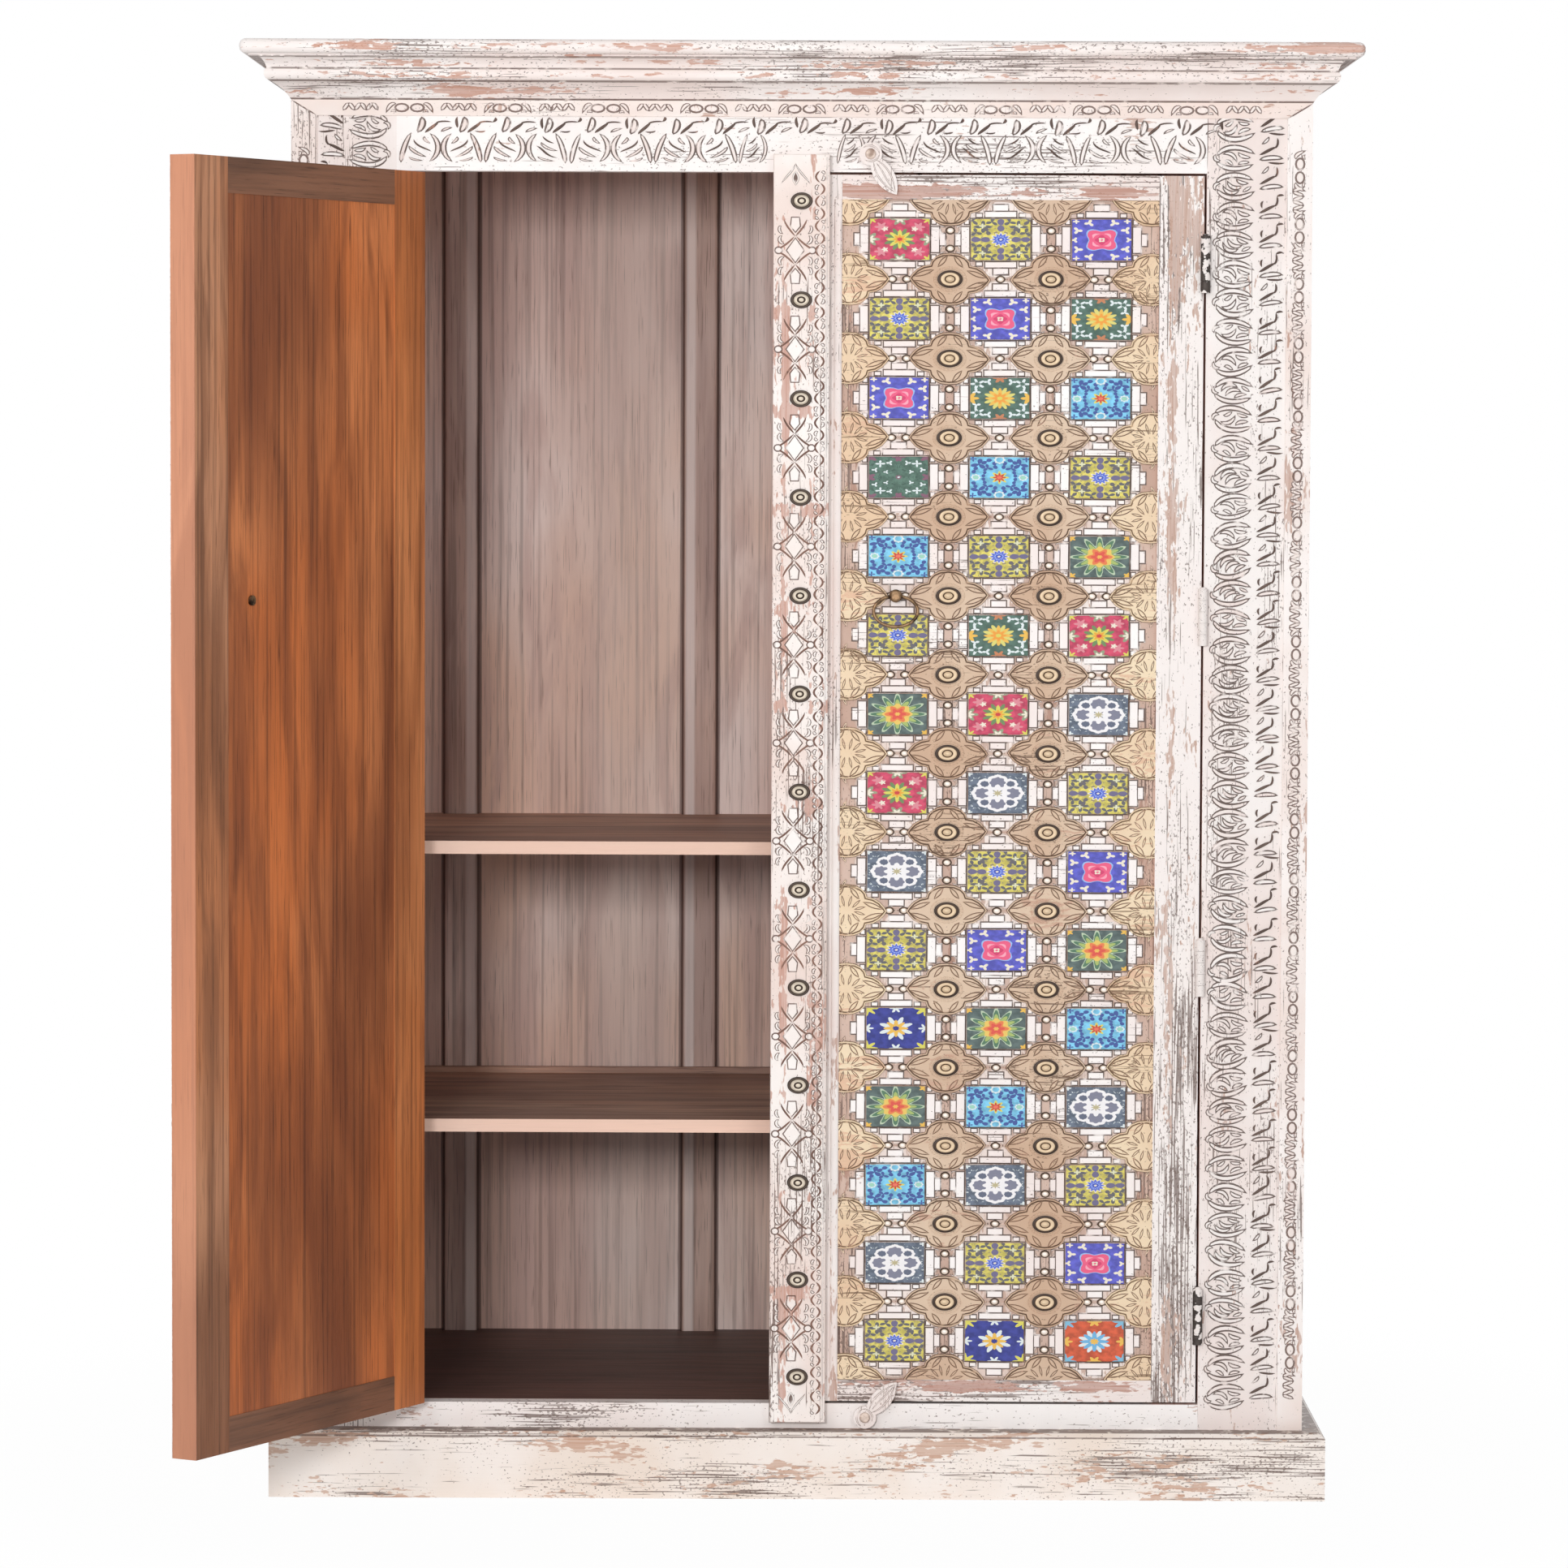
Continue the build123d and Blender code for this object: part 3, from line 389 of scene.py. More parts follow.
@dataclass(frozen=True)
class Surface:
    """A material under way: its graph, its shader and the place it is seen at."""

    material: bpy.types.Material
    graph: Graph
    shader: bpy.types.Node
    place: Socket

    def part(self, axis: str) -> Socket:
        """Give the place along one axis."""
        return self.graph.split(self.place)["XYZ".index(axis)]

    def rise(self, front: float) -> Socket:
        """Give the height above a front, in millimetres."""
        return self.graph.times(self.graph.minus(front * MILLIMETRE, self.part("Y")), 1 / MILLIMETRE)

    def along_grain(self, grain: Grain, shift: float) -> Socket:
        """Give the place with its grain axis first.

        Args:
            grain: The axis that the grain follows.
            shift: Moves the pattern, so that two boards differ.

        Returns:
            The turned place.
        """
        parts = self.graph.split(self.place)
        feeds = {index: parts["XYZ".index(axis)] for index, axis in enumerate(grain.value)}
        turned = self.graph.add("ShaderNodeCombineXYZ", feeds).outputs[0]
        return self.graph.vector("ADD", turned, (shift, shift * 0.7, shift * 1.3))

    def bands(self, stripes: Sequence[Stripe]) -> Socket | float:
        """Give the mask of some bands, each as strong as it says."""
        total: Socket | float = 0.0
        for stripe in stripes:
            offset = self.graph.minus(self.part(stripe.axis), stripe.middle * MILLIMETRE)
            reach = stripe.half_width * MILLIMETRE
            inside = self.graph.fall(self.graph.math("ABSOLUTE", offset), reach * 0.6, reach * 1.3)
            total = self.graph.plus(total, self.graph.times(inside, stripe.strength))
        return total

    def finish(
        self,
        colour: Socket,
        roughness: Socket,
        height: Socket,
        bump: Point,
        specular: float = 0.5,
        metallic: Socket | float = 0.0,
    ) -> bpy.types.Material:
        """Feed the shader.

        Args:
            colour: The base colour.
            roughness: The roughness.
            height: The relief that the light catches.
            bump: How strong that relief is, and its depth in metres.
            specular: How much the surface reflects.
            metallic: How metallic it is.

        Returns:
            The finished material.
        """
        strength, depth = bump
        relief = self.graph.add("ShaderNodeBump", {"Strength": strength, "Distance": depth, "Height": height})
        feeds = {"Base Color": colour, "Roughness": roughness, "Metallic": metallic,
                 "Specular IOR Level": specular, "Normal": relief.outputs[0]}
        for name, value in feeds.items():
            self.graph.feed(self.shader.inputs[name], value)
        return self.material


def start_material(name: str, hand: Hand = Hand.RIGHT, coords: str = "Object") -> Surface:
    """Start a material whose place is read as if its piece were on the shut right door.

    Args:
        name: The material's name.
        hand: LEFT turns the place of the open left door back to its shut place.
        coords: The Texture Coordinate output that gives the place.

    Returns:
        The material under way.
    """
    material = bpy.data.materials.new(name)
    material.use_nodes = True
    graph = Graph(material.node_tree)
    shader = material.node_tree.nodes["Principled BSDF"]
    place = graph.add("ShaderNodeTexCoord").outputs[coords]
    if hand is Hand.LEFT and coords == "Object":
        hinge = Vector((-HINGE_X, HINGE_Y, 0)) * MILLIMETRE
        turned = Matrix.Rotation(-LEFT_OPENING, 3, "Z") @ hinge
        feeds = {"Vector": place, "Location": tuple(hinge - turned), "Rotation": (0, 0, -LEFT_OPENING)}
        shut = graph.add("ShaderNodeMapping", feeds, vector_type="POINT").outputs[0]
        place = graph.vector("MULTIPLY", shut, (-1, 1, 1))
    return Surface(material, graph, shader, place)


@dataclass(frozen=True)
class PaintFinish:
    """Distressed paint: its colours, its grain, where it is rubbed through, and where painted shade darkens
    it.
    """

    name: str
    grain: Grain = Grain.ALONG_Z
    paint: Shade = (247, 241, 238)
    tint: Shade = (240, 226, 221)
    bare: Shade = (186, 146, 128)
    # The line colour draws the dark streaks and specks of the paint, and also its painted shade.
    line: Shade = (108, 88, 80)
    wear: float = 0.25
    dryness: float = 0.4
    # Painted shade: on carving that stands on relief_front the paint goes dark at the foot, within the band of
    # heights given next; without it, the line stripes paint shade at moulding steps and seams.
    relief_front: float | None = None
    relief_lines: Point = (0.15, 1.6)
    stripes: tuple[Stripe, ...] = ()
    seams: tuple[Stripe, ...] = ()
    hand: Hand = Hand.RIGHT
    shift: float = 0.0

    def groove(self, surface: Surface) -> Socket | float:
        """Give the mask of painted shade: at the foot of the carving, or else along the line stripes."""
        if self.relief_front is None:
            return surface.bands(self.seams)
        graph, rise = surface.graph, surface.rise(self.relief_front)
        low, high = self.relief_lines
        return graph.times(graph.step(rise, low * 0.3, low), graph.fall(rise, high * 0.75, high))

    def wet(self, surface: Surface) -> Outputs:
        """Add the worn paint group and give its outputs."""
        return surface.graph.group(worn_and_shaded_paint_group(), {
            "Vector": surface.along_grain(self.grain, self.shift),
            "Paint": self.paint,
            "Tint": self.tint,
            "Bare": self.bare,
            "Line": self.line,
            "Wear": self.wear,
            "Dryness": self.dryness,
            "Groove": self.groove(surface),
            "Patch": surface.bands(self.stripes),
        })

    def material(self) -> bpy.types.Material:
        """Build the material."""
        surface = start_material(self.name, self.hand)
        paint = self.wet(surface)
        return surface.finish(paint["Color"], paint["Roughness"], paint["Height"], (0.5, 0.0006), 0.3)


WOOD_BUMP = (0.35, 0.0005)


@dataclass(frozen=True)
class WoodFinish:
    """Waxed hardwood: its colours, how strong its figure is, and its painted highlights and painted shade
    lines.
    """

    name: str
    grain: Grain
    light: Shade
    warm: Shade
    dark: Shade
    deep: Shade
    figure: float
    knots: float
    shift: float = 0.0
    hand: Hand = Hand.RIGHT
    # Painted light: the light stripes mix the colour towards glint as painted highlights and sheen, and the
    # line stripes mix it towards deep as painted shade.
    lights: tuple[Stripe, ...] = ()
    seams: tuple[Stripe, ...] = ()
    glint: Shade = (250, 214, 194)

    def oiled(self, surface: Surface) -> Outputs:
        """Add the plank group and give its outputs."""
        return surface.graph.group(plank_group(), {
            "Vector": surface.along_grain(self.grain, self.shift),
            "Light": self.light,
            "Warm": self.warm,
            "Dark": self.dark,
            "Deep": self.deep,
            "Figure": self.figure,
            "Knots": self.knots,
        })

    def colour(self, surface: Surface, wood: Outputs) -> Socket:
        """Give the wood's colour with painted highlights from its light stripes and painted shade along its
        line stripes.
        """
        lit = surface.graph.mix(surface.bands(self.lights), wood["Color"], self.glint)
        return surface.graph.mix(surface.bands(self.seams), lit, self.deep)

    def material(self) -> bpy.types.Material:
        """Build the material."""
        surface = start_material(self.name, self.hand)
        wood = self.oiled(surface)
        colour = self.colour(surface, wood)
        return surface.finish(colour, wood["Roughness"], wood["Height"], WOOD_BUMP)


@dataclass(frozen=True)
class Where:
    """The side of a plane across one axis where a board is painted."""

    axis: str
    edge: float
    above: bool = False
    both_sides: bool = False


@dataclass(frozen=True)
class PartPaintedFinish:
    """A board that is painted on one side and bare wood on the rest."""

    name: str
    paint: PaintFinish
    wood: WoodFinish
    where: Where

    def material(self) -> bpy.types.Material:
        """Build the material."""
        surface = start_material(self.name, self.paint.hand)
        graph = surface.graph
        paint, wood = self.paint.wet(surface), self.wood.oiled(surface)
        value = surface.part(self.where.axis)
        if self.where.both_sides:
            value = graph.math("ABSOLUTE", value)
        edge = self.where.edge * MILLIMETRE
        ragged = graph.plus(value, graph.times(graph.noise(surface.place, 160, 3), 0.0008))
        painted = graph.step(ragged, edge - 0.0001, edge + 0.0003)
        if not self.where.above:
            painted = graph.minus(1.0, painted)
        colour = graph.mix(painted, self.wood.colour(surface, wood), paint["Color"])
        rough = graph.plus(wood["Roughness"], graph.times(painted, 0.15))
        return surface.finish(colour, rough, graph.plus(paint["Height"], wood["Height"]), (0.3, 0.0005), 0.35)


@dataclass(frozen=True)
class TwoFacedFinish:
    """A back board: waxed on its inner face, raw on its outer one."""

    name: str
    inner: WoodFinish
    outer: WoodFinish
    split: float

    def material(self) -> bpy.types.Material:
        """Build the material."""
        surface = start_material(self.name)
        inner, outer = self.inner.oiled(surface), self.outer.oiled(surface)
        edge = self.split * MILLIMETRE
        behind = surface.graph.step(surface.part("Y"), edge - MILLIMETRE, edge)
        colour = surface.graph.mix(behind, self.inner.colour(surface, inner), outer["Color"])
        return surface.finish(colour, inner["Roughness"], inner["Height"], WOOD_BUMP)


@dataclass(frozen=True)
class MetalFinish:
    """Aged metal with dark patina, and a white-painted zone if it has one."""

    name: str
    bright: Shade
    patina: Shade
    roughness: float
    metallic: float = 0.85
    painted_zone: Point | None = None

    def material(self) -> bpy.types.Material:
        """Build the material."""
        surface = start_material(self.name)
        graph = surface.graph
        cloud = graph.noise(surface.place, 90, 4)
        fine = graph.noise(surface.place, 700, 3)
        aged = graph.mix(graph.step(cloud, 0.4, 0.64), self.bright, self.patina)
        colour = graph.mix(graph.times(graph.step(fine, 0.58, 0.7), 0.6), aged, self.patina)
        metallic: Socket | float = self.metallic
        if self.painted_zone:
            low, high = self.painted_zone
            height = surface.part("Z")
            inside = graph.times(graph.step(height, low, low + 0.01), graph.fall(height, high, high + 0.01))
            inside = graph.times(inside, graph.step(fine, 0.3, 0.42))
            inside = graph.math("MAXIMUM", inside, graph.step(cloud, 0.53, 0.57))
            colour = graph.mix(inside, colour, (238, 230, 226))
            metallic = graph.times(graph.minus(1.0, inside), self.metallic)
        rough = graph.plus(self.roughness, graph.times(cloud, 0.2))
        return surface.finish(colour, rough, fine, (0.25, 0.0002), metallic=metallic)


@dataclass(frozen=True)
class BossFinish:
    """A domed boss: rubbed high places, and low places darkened as patina and as painted shade."""

    name: str
    seat: float
    high: Shade
    low: Shade
    lines: Point
    hand: Hand = Hand.RIGHT

    def material(self) -> bpy.types.Material:
        """Build the material."""
        surface = start_material(self.name, self.hand)
        graph = surface.graph
        cloud = graph.noise(surface.place, 210, 3)
        # Low places go towards the low colour: patina on the brass, and painted shade in the hollows.
        level = graph.plus(surface.rise(self.seat), graph.times(graph.minus(cloud, 0.5), 0.9))
        colour = graph.mix(graph.step(level, *self.lines), self.low, self.high)
        rough = graph.plus(0.4, graph.times(cloud, 0.25))
        return surface.finish(colour, rough, cloud, (0.3, 0.0003), metallic=0.3)


@dataclass(frozen=True)
class Blossom:
    """One painted shape of a tile, placed in its quarter and repeated in the other three."""

    colour: Shade
    across: float
    up: float
    petals: int
    radius: float
    notch: float
    turn: float = 0.0
    hole: float = 0.0

    def feeds(self) -> dict[str, float]:
        """Give a value for each input of the blossom group, which has the field's name."""
        return {name.title(): float(value) for name, value in vars(self).items() if name != "colour"}


CREAM = (240, 232, 214)
PALE = (226, 236, 238)
GOLD = (238, 190, 84)
LEMON = (222, 216, 96)
SNOW = (246, 244, 246)


@dataclass(frozen=True)
class TileFinish:
    """A glazed tile: its ground and its painted blossoms, from the back to the front."""

    name: str
    ground: Shade
    blossoms: tuple[Blossom, ...]
    fleck: Shade = CREAM
    flecks: float = 0.0

    def material(self) -> bpy.types.Material:
        """Build the material on the tile's own UV map."""
        surface = start_material(self.name, coords="UV")
        graph = surface.graph
        spread = graph.vector("MULTIPLY_ADD", surface.place, (2, 2, 1), (-1, -1, 0))
        wavering = {"Vector": spread, "Scale": 7.0, "Detail": 2.0}
        wobble = graph.add("ShaderNodeTexNoise", wavering).outputs["Color"]
        offset = graph.vector("MULTIPLY_ADD", wobble, (0.05, 0.05, 0.0), (-0.025, -0.025, 0.0))
        drawn = graph.vector("ADD", spread, offset)
        pooled = graph.noise(spread, 3.2, 4)
        ground = shade(self.ground)[:3]
        lighter = (*(min(1.0, part * 1.25 + 0.012) for part in ground), 1.0)
        darker = (*(part * 0.8 for part in ground), 1.0)
        colour = graph.mix(graph.step(pooled, 0.35, 0.65), darker, lighter)
        if self.flecks:
            flecked = graph.noise(graph.vector("ABSOLUTE", drawn), 9.0, 2, 1.2)
            mask = graph.step(flecked, 0.66 - self.flecks, 0.69 - self.flecks)
            colour = graph.mix(mask, colour, self.fleck)
        for blossom in self.blossoms:
            mask = graph.group(blossom_group(), {"Vector": drawn, **blossom.feeds()})["Mask"]
            colour = graph.mix(mask, colour, blossom.colour)
        surface.shader.inputs["Coat Weight"].default_value = 0.3
        rough = graph.plus(0.09, graph.times(pooled, 0.06))
        return surface.finish(colour, rough, pooled, (0.1, 0.0004))


PINK = (238, 92, 134)
NAVY = (62, 86, 156)
RED = (204, 58, 60)

TILE_FINISHES = {
    "R": TileFinish("glaze_red", (198, 62, 96), (
        Blossom(LEMON, 1, 1, 8, 0.26, 0.5),
        Blossom((222, 140, 152), 0.62, 0.6, 6, 0.24, 0.5),
        Blossom((150, 160, 130), 1, 0, 6, 0.34, 0.5),
        Blossom(CREAM, 1, 0, 6, 0.2, 0.5),
        Blossom((150, 160, 130), 0, 1, 6, 0.34, 0.5),
        Blossom(CREAM, 0, 1, 6, 0.2, 0.5),
        Blossom((110, 140, 90), 0, 0, 8, 0.56, 0.62, math.pi),
        Blossom(LEMON, 0, 0, 8, 0.46, 0.55),
        Blossom((236, 170, 60), 0, 0, 8, 0.24, 0.4),
        Blossom(RED, 0, 0, 8, 0.1, 0.2),
        Blossom(CREAM, 0.5, 0.5, 5, 0.12, 0.5),
    )),
    "Y": TileFinish("glaze_yellow", (212, 200, 96), (
        Blossom((98, 98, 104), 0.6, 0.62, 4, 0.3, 0.9, 0.0),
        Blossom((98, 98, 104), 0.84, 0.34, 3, 0.22, 0.9, 2.2),
        Blossom((98, 98, 104), 0.3, 0.86, 3, 0.22, 0.9, 1.0),
        Blossom((104, 100, 106), 0.95, 0.92, 3, 0.24, 0.85, 0.4),
        Blossom((226, 226, 190), 0.62, 0.66, 4, 0.12, 0.6),
        Blossom((104, 100, 106), 0.46, 0.4, 2, 0.2, 0.85, 4.0),
        Blossom((110, 104, 140), 0.68, 0, 2, 0.32, 0.94),
        Blossom((110, 104, 140), 0, 0.7, 2, 0.3, 0.94, math.pi),
        Blossom(CREAM, 0, 0, 12, 0.36, 0.3),
        Blossom((84, 110, 214), 0, 0, 12, 0.3, 0.3),
        Blossom((150, 170, 240), 0, 0, 12, 0.18, 0.3),
        Blossom((60, 84, 190), 0, 0, 8, 0.12, 0.1),
        Blossom(CREAM, 0, 0, 8, 0.05, 0.1),
    ), (150, 138, 110), 0.08),
    "V": TileFinish("glaze_violet", (84, 86, 192), (
        Blossom(CREAM, 0.82, 0.46, 3, 0.18, 0.7, math.pi),
        Blossom(CREAM, 0.42, 0.82, 3, 0.18, 0.7, 0.6),
        Blossom(CREAM, 0.86, 0.9, 4, 0.12, 0.6),
        Blossom(CREAM, 0.92, 0.0, 3, 0.14, 0.7),
        Blossom((150, 190, 240), 0, 0, 4, 0.66, 0.32, math.pi),
        Blossom(PINK, 0, 0, 4, 0.6, 0.3, math.pi),
        Blossom((250, 170, 190), 0, 0, 4, 0.4, 0.3, math.pi, 0.3),
        Blossom((214, 60, 110), 0, 0, 4, 0.24, 0.3),
        Blossom(CREAM, 0, 0, 4, 0.12, 0.3, math.pi),
        Blossom(PINK, 0, 0, 4, 0.05, 0.1),
    )),
    "G": TileFinish("glaze_green", (74, 106, 94), (
        Blossom(PALE, 0.76, 0.7, 5, 0.26, 0.75),
        Blossom((74, 106, 94), 0.76, 0.7, 5, 0.1, 0.3),
        Blossom(PALE, 0.4, 0.8, 3, 0.16, 0.8),
        Blossom(PALE, 0.8, 0.34, 3, 0.16, 0.8, 2.0),
        Blossom(GOLD, 1.0, 0, 6, 0.3, 0.5),
        Blossom((200, 130, 90), 0, 1.0, 6, 0.26, 0.5),
        Blossom((222, 214, 120), 0, 0, 8, 0.56, 0.66, math.pi),
        Blossom(GOLD, 0, 0, 8, 0.5, 0.6),
        Blossom((240, 160, 60), 0, 0, 8, 0.28, 0.4),
        Blossom(LEMON, 0, 0, 8, 0.1, 0.2),
    )),
    "S": TileFinish("glaze_small_green", (78, 112, 98), (
        Blossom((132, 88, 110), 1.0, 0, 5, 0.24, 0.5),
        Blossom((132, 88, 110), 0, 1.0, 5, 0.24, 0.5),
        Blossom((132, 88, 110), 1.0, 1.0, 5, 0.3, 0.5),
        Blossom(PALE, 0.62, 0.66, 4, 0.17, 0.85),
        Blossom(PALE, 0.8, 0.36, 3, 0.12, 0.8),
        Blossom(PALE, 0.3, 0.7, 3, 0.12, 0.8),
        Blossom(PALE, 0.42, 0.26, 3, 0.1, 0.8),
        Blossom((132, 88, 110), 0, 0, 8, 0.12, 0.4),
        Blossom(PALE, 0, 0, 6, 0.05, 0.3),
    ), (60, 90, 80), 0.1),
    "L": TileFinish("glaze_light_blue", (116, 192, 226), (
        Blossom(NAVY, 0.7, 0.64, 3, 0.28, 0.9, 0.9),
        Blossom(NAVY, 0.44, 0.78, 2, 0.2, 0.88, 1.2),
        Blossom(NAVY, 0.84, 0.36, 2, 0.18, 0.88, 2.4),
        Blossom(NAVY, 0.9, 0.9, 4, 0.14, 0.8),
        Blossom(NAVY, 0.4, 0.46, 3, 0.2, 0.9, 2.2),
        Blossom(NAVY, 0.52, 0.16, 2, 0.16, 0.88, 2.6),
        Blossom(NAVY, 0.16, 0.6, 2, 0.18, 0.88, 3.6),
        Blossom(PALE, 0.8, 0, 8, 0.17, 0.2, 0, 0.1),
        Blossom((160, 214, 190), 0.8, 0, 8, 0.1, 0.2),
        Blossom(PALE, 0, 0.86, 8, 0.2, 0.2, 0, 0.12),
        Blossom(LEMON, 0, 0, 8, 0.32, 0.45),
        Blossom(RED, 0, 0, 8, 0.23, 0.5),
        Blossom((236, 120, 90), 0, 0, 8, 0.09, 0.2),
    )),
    "N": TileFinish("glaze_slate", (92, 104, 122), (
        Blossom(PALE, 0.96, 0.94, 4, 0.12, 0.6),
        Blossom(SNOW, 0.5, 0, 8, 0.4, 0.08),
        Blossom(SNOW, 0, 0.5, 8, 0.42, 0.08),
        Blossom(SNOW, 0.42, 0.44, 8, 0.28, 0.08),
        Blossom((128, 130, 150), 0.52, 0, 8, 0.26, 0.14),
        Blossom((128, 130, 150), 0, 0.52, 8, 0.28, 0.14),
        Blossom((96, 104, 126), 0.44, 0.46, 8, 0.15, 0.1),
        Blossom(SNOW, 0, 0, 4, 0.44, 0.8),
        Blossom((190, 180, 140), 0, 0, 8, 0.16, 0.5),
    ), PALE, 0.02),
    "H": TileFinish("glaze_deep_green", (82, 100, 98), (
        Blossom((190, 208, 180), 0, 0, 12, 1.02, 0.46),
        Blossom((84, 124, 96), 0, 0, 12, 0.92, 0.5),
        Blossom((170, 190, 110), 0, 0, 12, 0.72, 0.44),
        Blossom(GOLD, 0.95, 0.92, 5, 0.16, 0.5),
        Blossom((236, 200, 100), 0, 0, 8, 0.52, 0.18),
        Blossom((232, 128, 74), 0, 0, 6, 0.44, 0.4),
        Blossom((224, 84, 70), 0, 0, 6, 0.3, 0.4),
        Blossom((240, 190, 90), 0, 0, 6, 0.1, 0.3),
    )),
    "D": TileFinish("glaze_dark_blue", (40, 50, 142), (
        Blossom(LEMON, 1.0, 1.0, 8, 0.4, 0.5),
        Blossom(PALE, 1.0, 0, 6, 0.24, 0.6),
        Blossom(PALE, 0, 1.0, 6, 0.24, 0.6),
        Blossom(PALE, 0, 0, 8, 0.6, 0.6, math.pi),
        Blossom(GOLD, 0, 0, 8, 0.42, 0.5),
        Blossom((40, 50, 142), 0, 0, 8, 0.12, 0.2),
    )),
    "O": TileFinish("glaze_orange", (202, 82, 42), (
        Blossom((130, 190, 220), 1.0, 1.0, 8, 0.4, 0.5),
        Blossom(GOLD, 1.0, 0, 6, 0.26, 0.5),
        Blossom(GOLD, 0, 1.0, 6, 0.26, 0.5),
        Blossom(PALE, 0, 0, 8, 0.58, 0.6, math.pi),
        Blossom((110, 180, 226), 0, 0, 8, 0.5, 0.55),
        Blossom(GOLD, 0, 0, 8, 0.16, 0.3),
    )),
}
DIAGONAL_ORDER = "RYVGLYGRNYVGLNYVO"
ODD_TILES = {
    (3, 0): "S", (4, 2): "H", (6, 0): "H", (9, 2): "H",
    (10, 0): "D", (10, 1): "H", (11, 0): "H", (14, 1): "D",
}


# ------------------------------------------------------------------------------------- carving


def as_mesh(sheet: bmesh.types.BMesh, name: str) -> bpy.types.Mesh:
    """Turn a bmesh into a mesh, and free it."""
    mesh = bpy.data.meshes.new(name)
    sheet.to_mesh(mesh)
    sheet.free()
    return mesh


def add_object(name: str, data: bpy.types.ID) -> bpy.types.Object:
    """Add an object to the scene."""
    holder = bpy.data.objects.new(name, data)
    bpy.context.scene.collection.objects.link(holder)
    return holder


LEFT_AND_RIGHT = ((-1, 1), (1, 1))
CROSSWISE = ((-1, -1), (1, 1))
FOUR_WAYS = ((-1, -1), (-1, 1), (1, -1), (1, 1))

# The height that a stroke keeps at its tips, as a share, and for each step out from its ridge the share
# of its half width, the share of its height, and a lift in millimetres.
BLADE_TIP = 0.25
BLADE_SECTION = ((0.0, 1.0, 0.0), (0.42, 0.88, 0.0), (0.58, 0.0, 0.5), (0.96, 0.0, 0.3), (1.0, 0.0, -SINK))


@dataclass(frozen=True)
class Blade:
    """A carved stroke with a ridge, along a cubic curve. Sizes are in millimetres."""

    start: Point
    start_pull: Point
    end_pull: Point
    end: Point
    width: float
    height: float
    steps: int
    swell: float = 0.6
    # A dark stroke takes the piece's second finish, a dark colour that paints the shade in a cut.
    dark: bool = False

    def point(self, t: float) -> Vector:
        """Give the point at a share of the way along."""
        corners = [Vector(corner) for corner in (self.start, self.start_pull, self.end_pull, self.end)]
        weights = ((1 - t) ** 3, 3 * t * (1 - t) ** 2, 3 * t * t * (1 - t), t**3)
        return sum((corner * weight for corner, weight in zip(corners, weights)), Vector((0, 0)))

    def flipped(self, wide: int, tall: int) -> "Blade":
        """Give the stroke mirrored along each axis whose sign is negative."""
        corners = [(wide * x, tall * y) for x, y in (self.start, self.start_pull, self.end_pull, self.end)]
        return Blade(*corners, self.width, self.height, self.steps, self.swell, self.dark)

    def cut(self, sheet: bmesh.types.BMesh) -> None:
        """Bend a narrow grid into the stroke: steep sides, a rounded back, and its edges sunk a little."""
        sides = len(BLADE_SECTION) - 1
        grid = bmesh.ops.create_grid(sheet, x_segments=self.steps, y_segments=2 * sides, size=1)
        for vertex in grid["verts"]:
            t = (vertex.co.x + 1) / 2
            side = round(vertex.co.y * sides)
            out, share, skirt = BLADE_SECTION[abs(side)]
            swelling = max(math.sin(math.pi * t), 0.0) ** self.swell
            ahead = self.point(min(t + 0.02, 1)) - self.point(max(t - 0.02, 0))
            across = Vector((-ahead.y, ahead.x)).normalized()
            place = self.point(t) + across * math.copysign(out, side) * self.width / 2 * swelling
            rise = self.height * (BLADE_TIP + (1 - BLADE_TIP) * swelling)
            vertex.co = (place.x, place.y, rise * share + skirt)
        if self.dark:
            for face in {face for vertex in grid["verts"] for face in vertex.link_faces}:
                face.material_index = 1
        bmesh.ops.remove_doubles(sheet, verts=grid["verts"], dist=0.02)


@dataclass(frozen=True)
class Plate:
    """A raised flat shape. Each step insets its top by a width and lifts it by a height."""

    outline: tuple[Point, ...]
    steps: tuple[Point, ...]
    square: bool = False
    # The walls of the dark steps take the second finish, painted shade along those steps.
    dark_steps: tuple[int, ...] = ()

    def cut(self, sheet: bmesh.types.BMesh) -> None:
        """Inset one flat face step by step."""
        corners = [sheet.verts.new((x, y, -SINK)) for x, y in self.outline]
        top = sheet.faces.new(corners)
        top.normal_update()
        if top.normal.z < 0:
            top.normal_flip()
        for number, (width, lift) in enumerate(self.steps):
            ring = bmesh.ops.inset_region(
                sheet,
                faces=[top],
                use_boundary=True,
                use_even_offset=self.square,
                thickness=width,
                depth=lift + (SINK if number == 0 else 0),
            )
            if number in self.dark_steps:
                for face in ring["faces"]:
                    face.material_index = 1


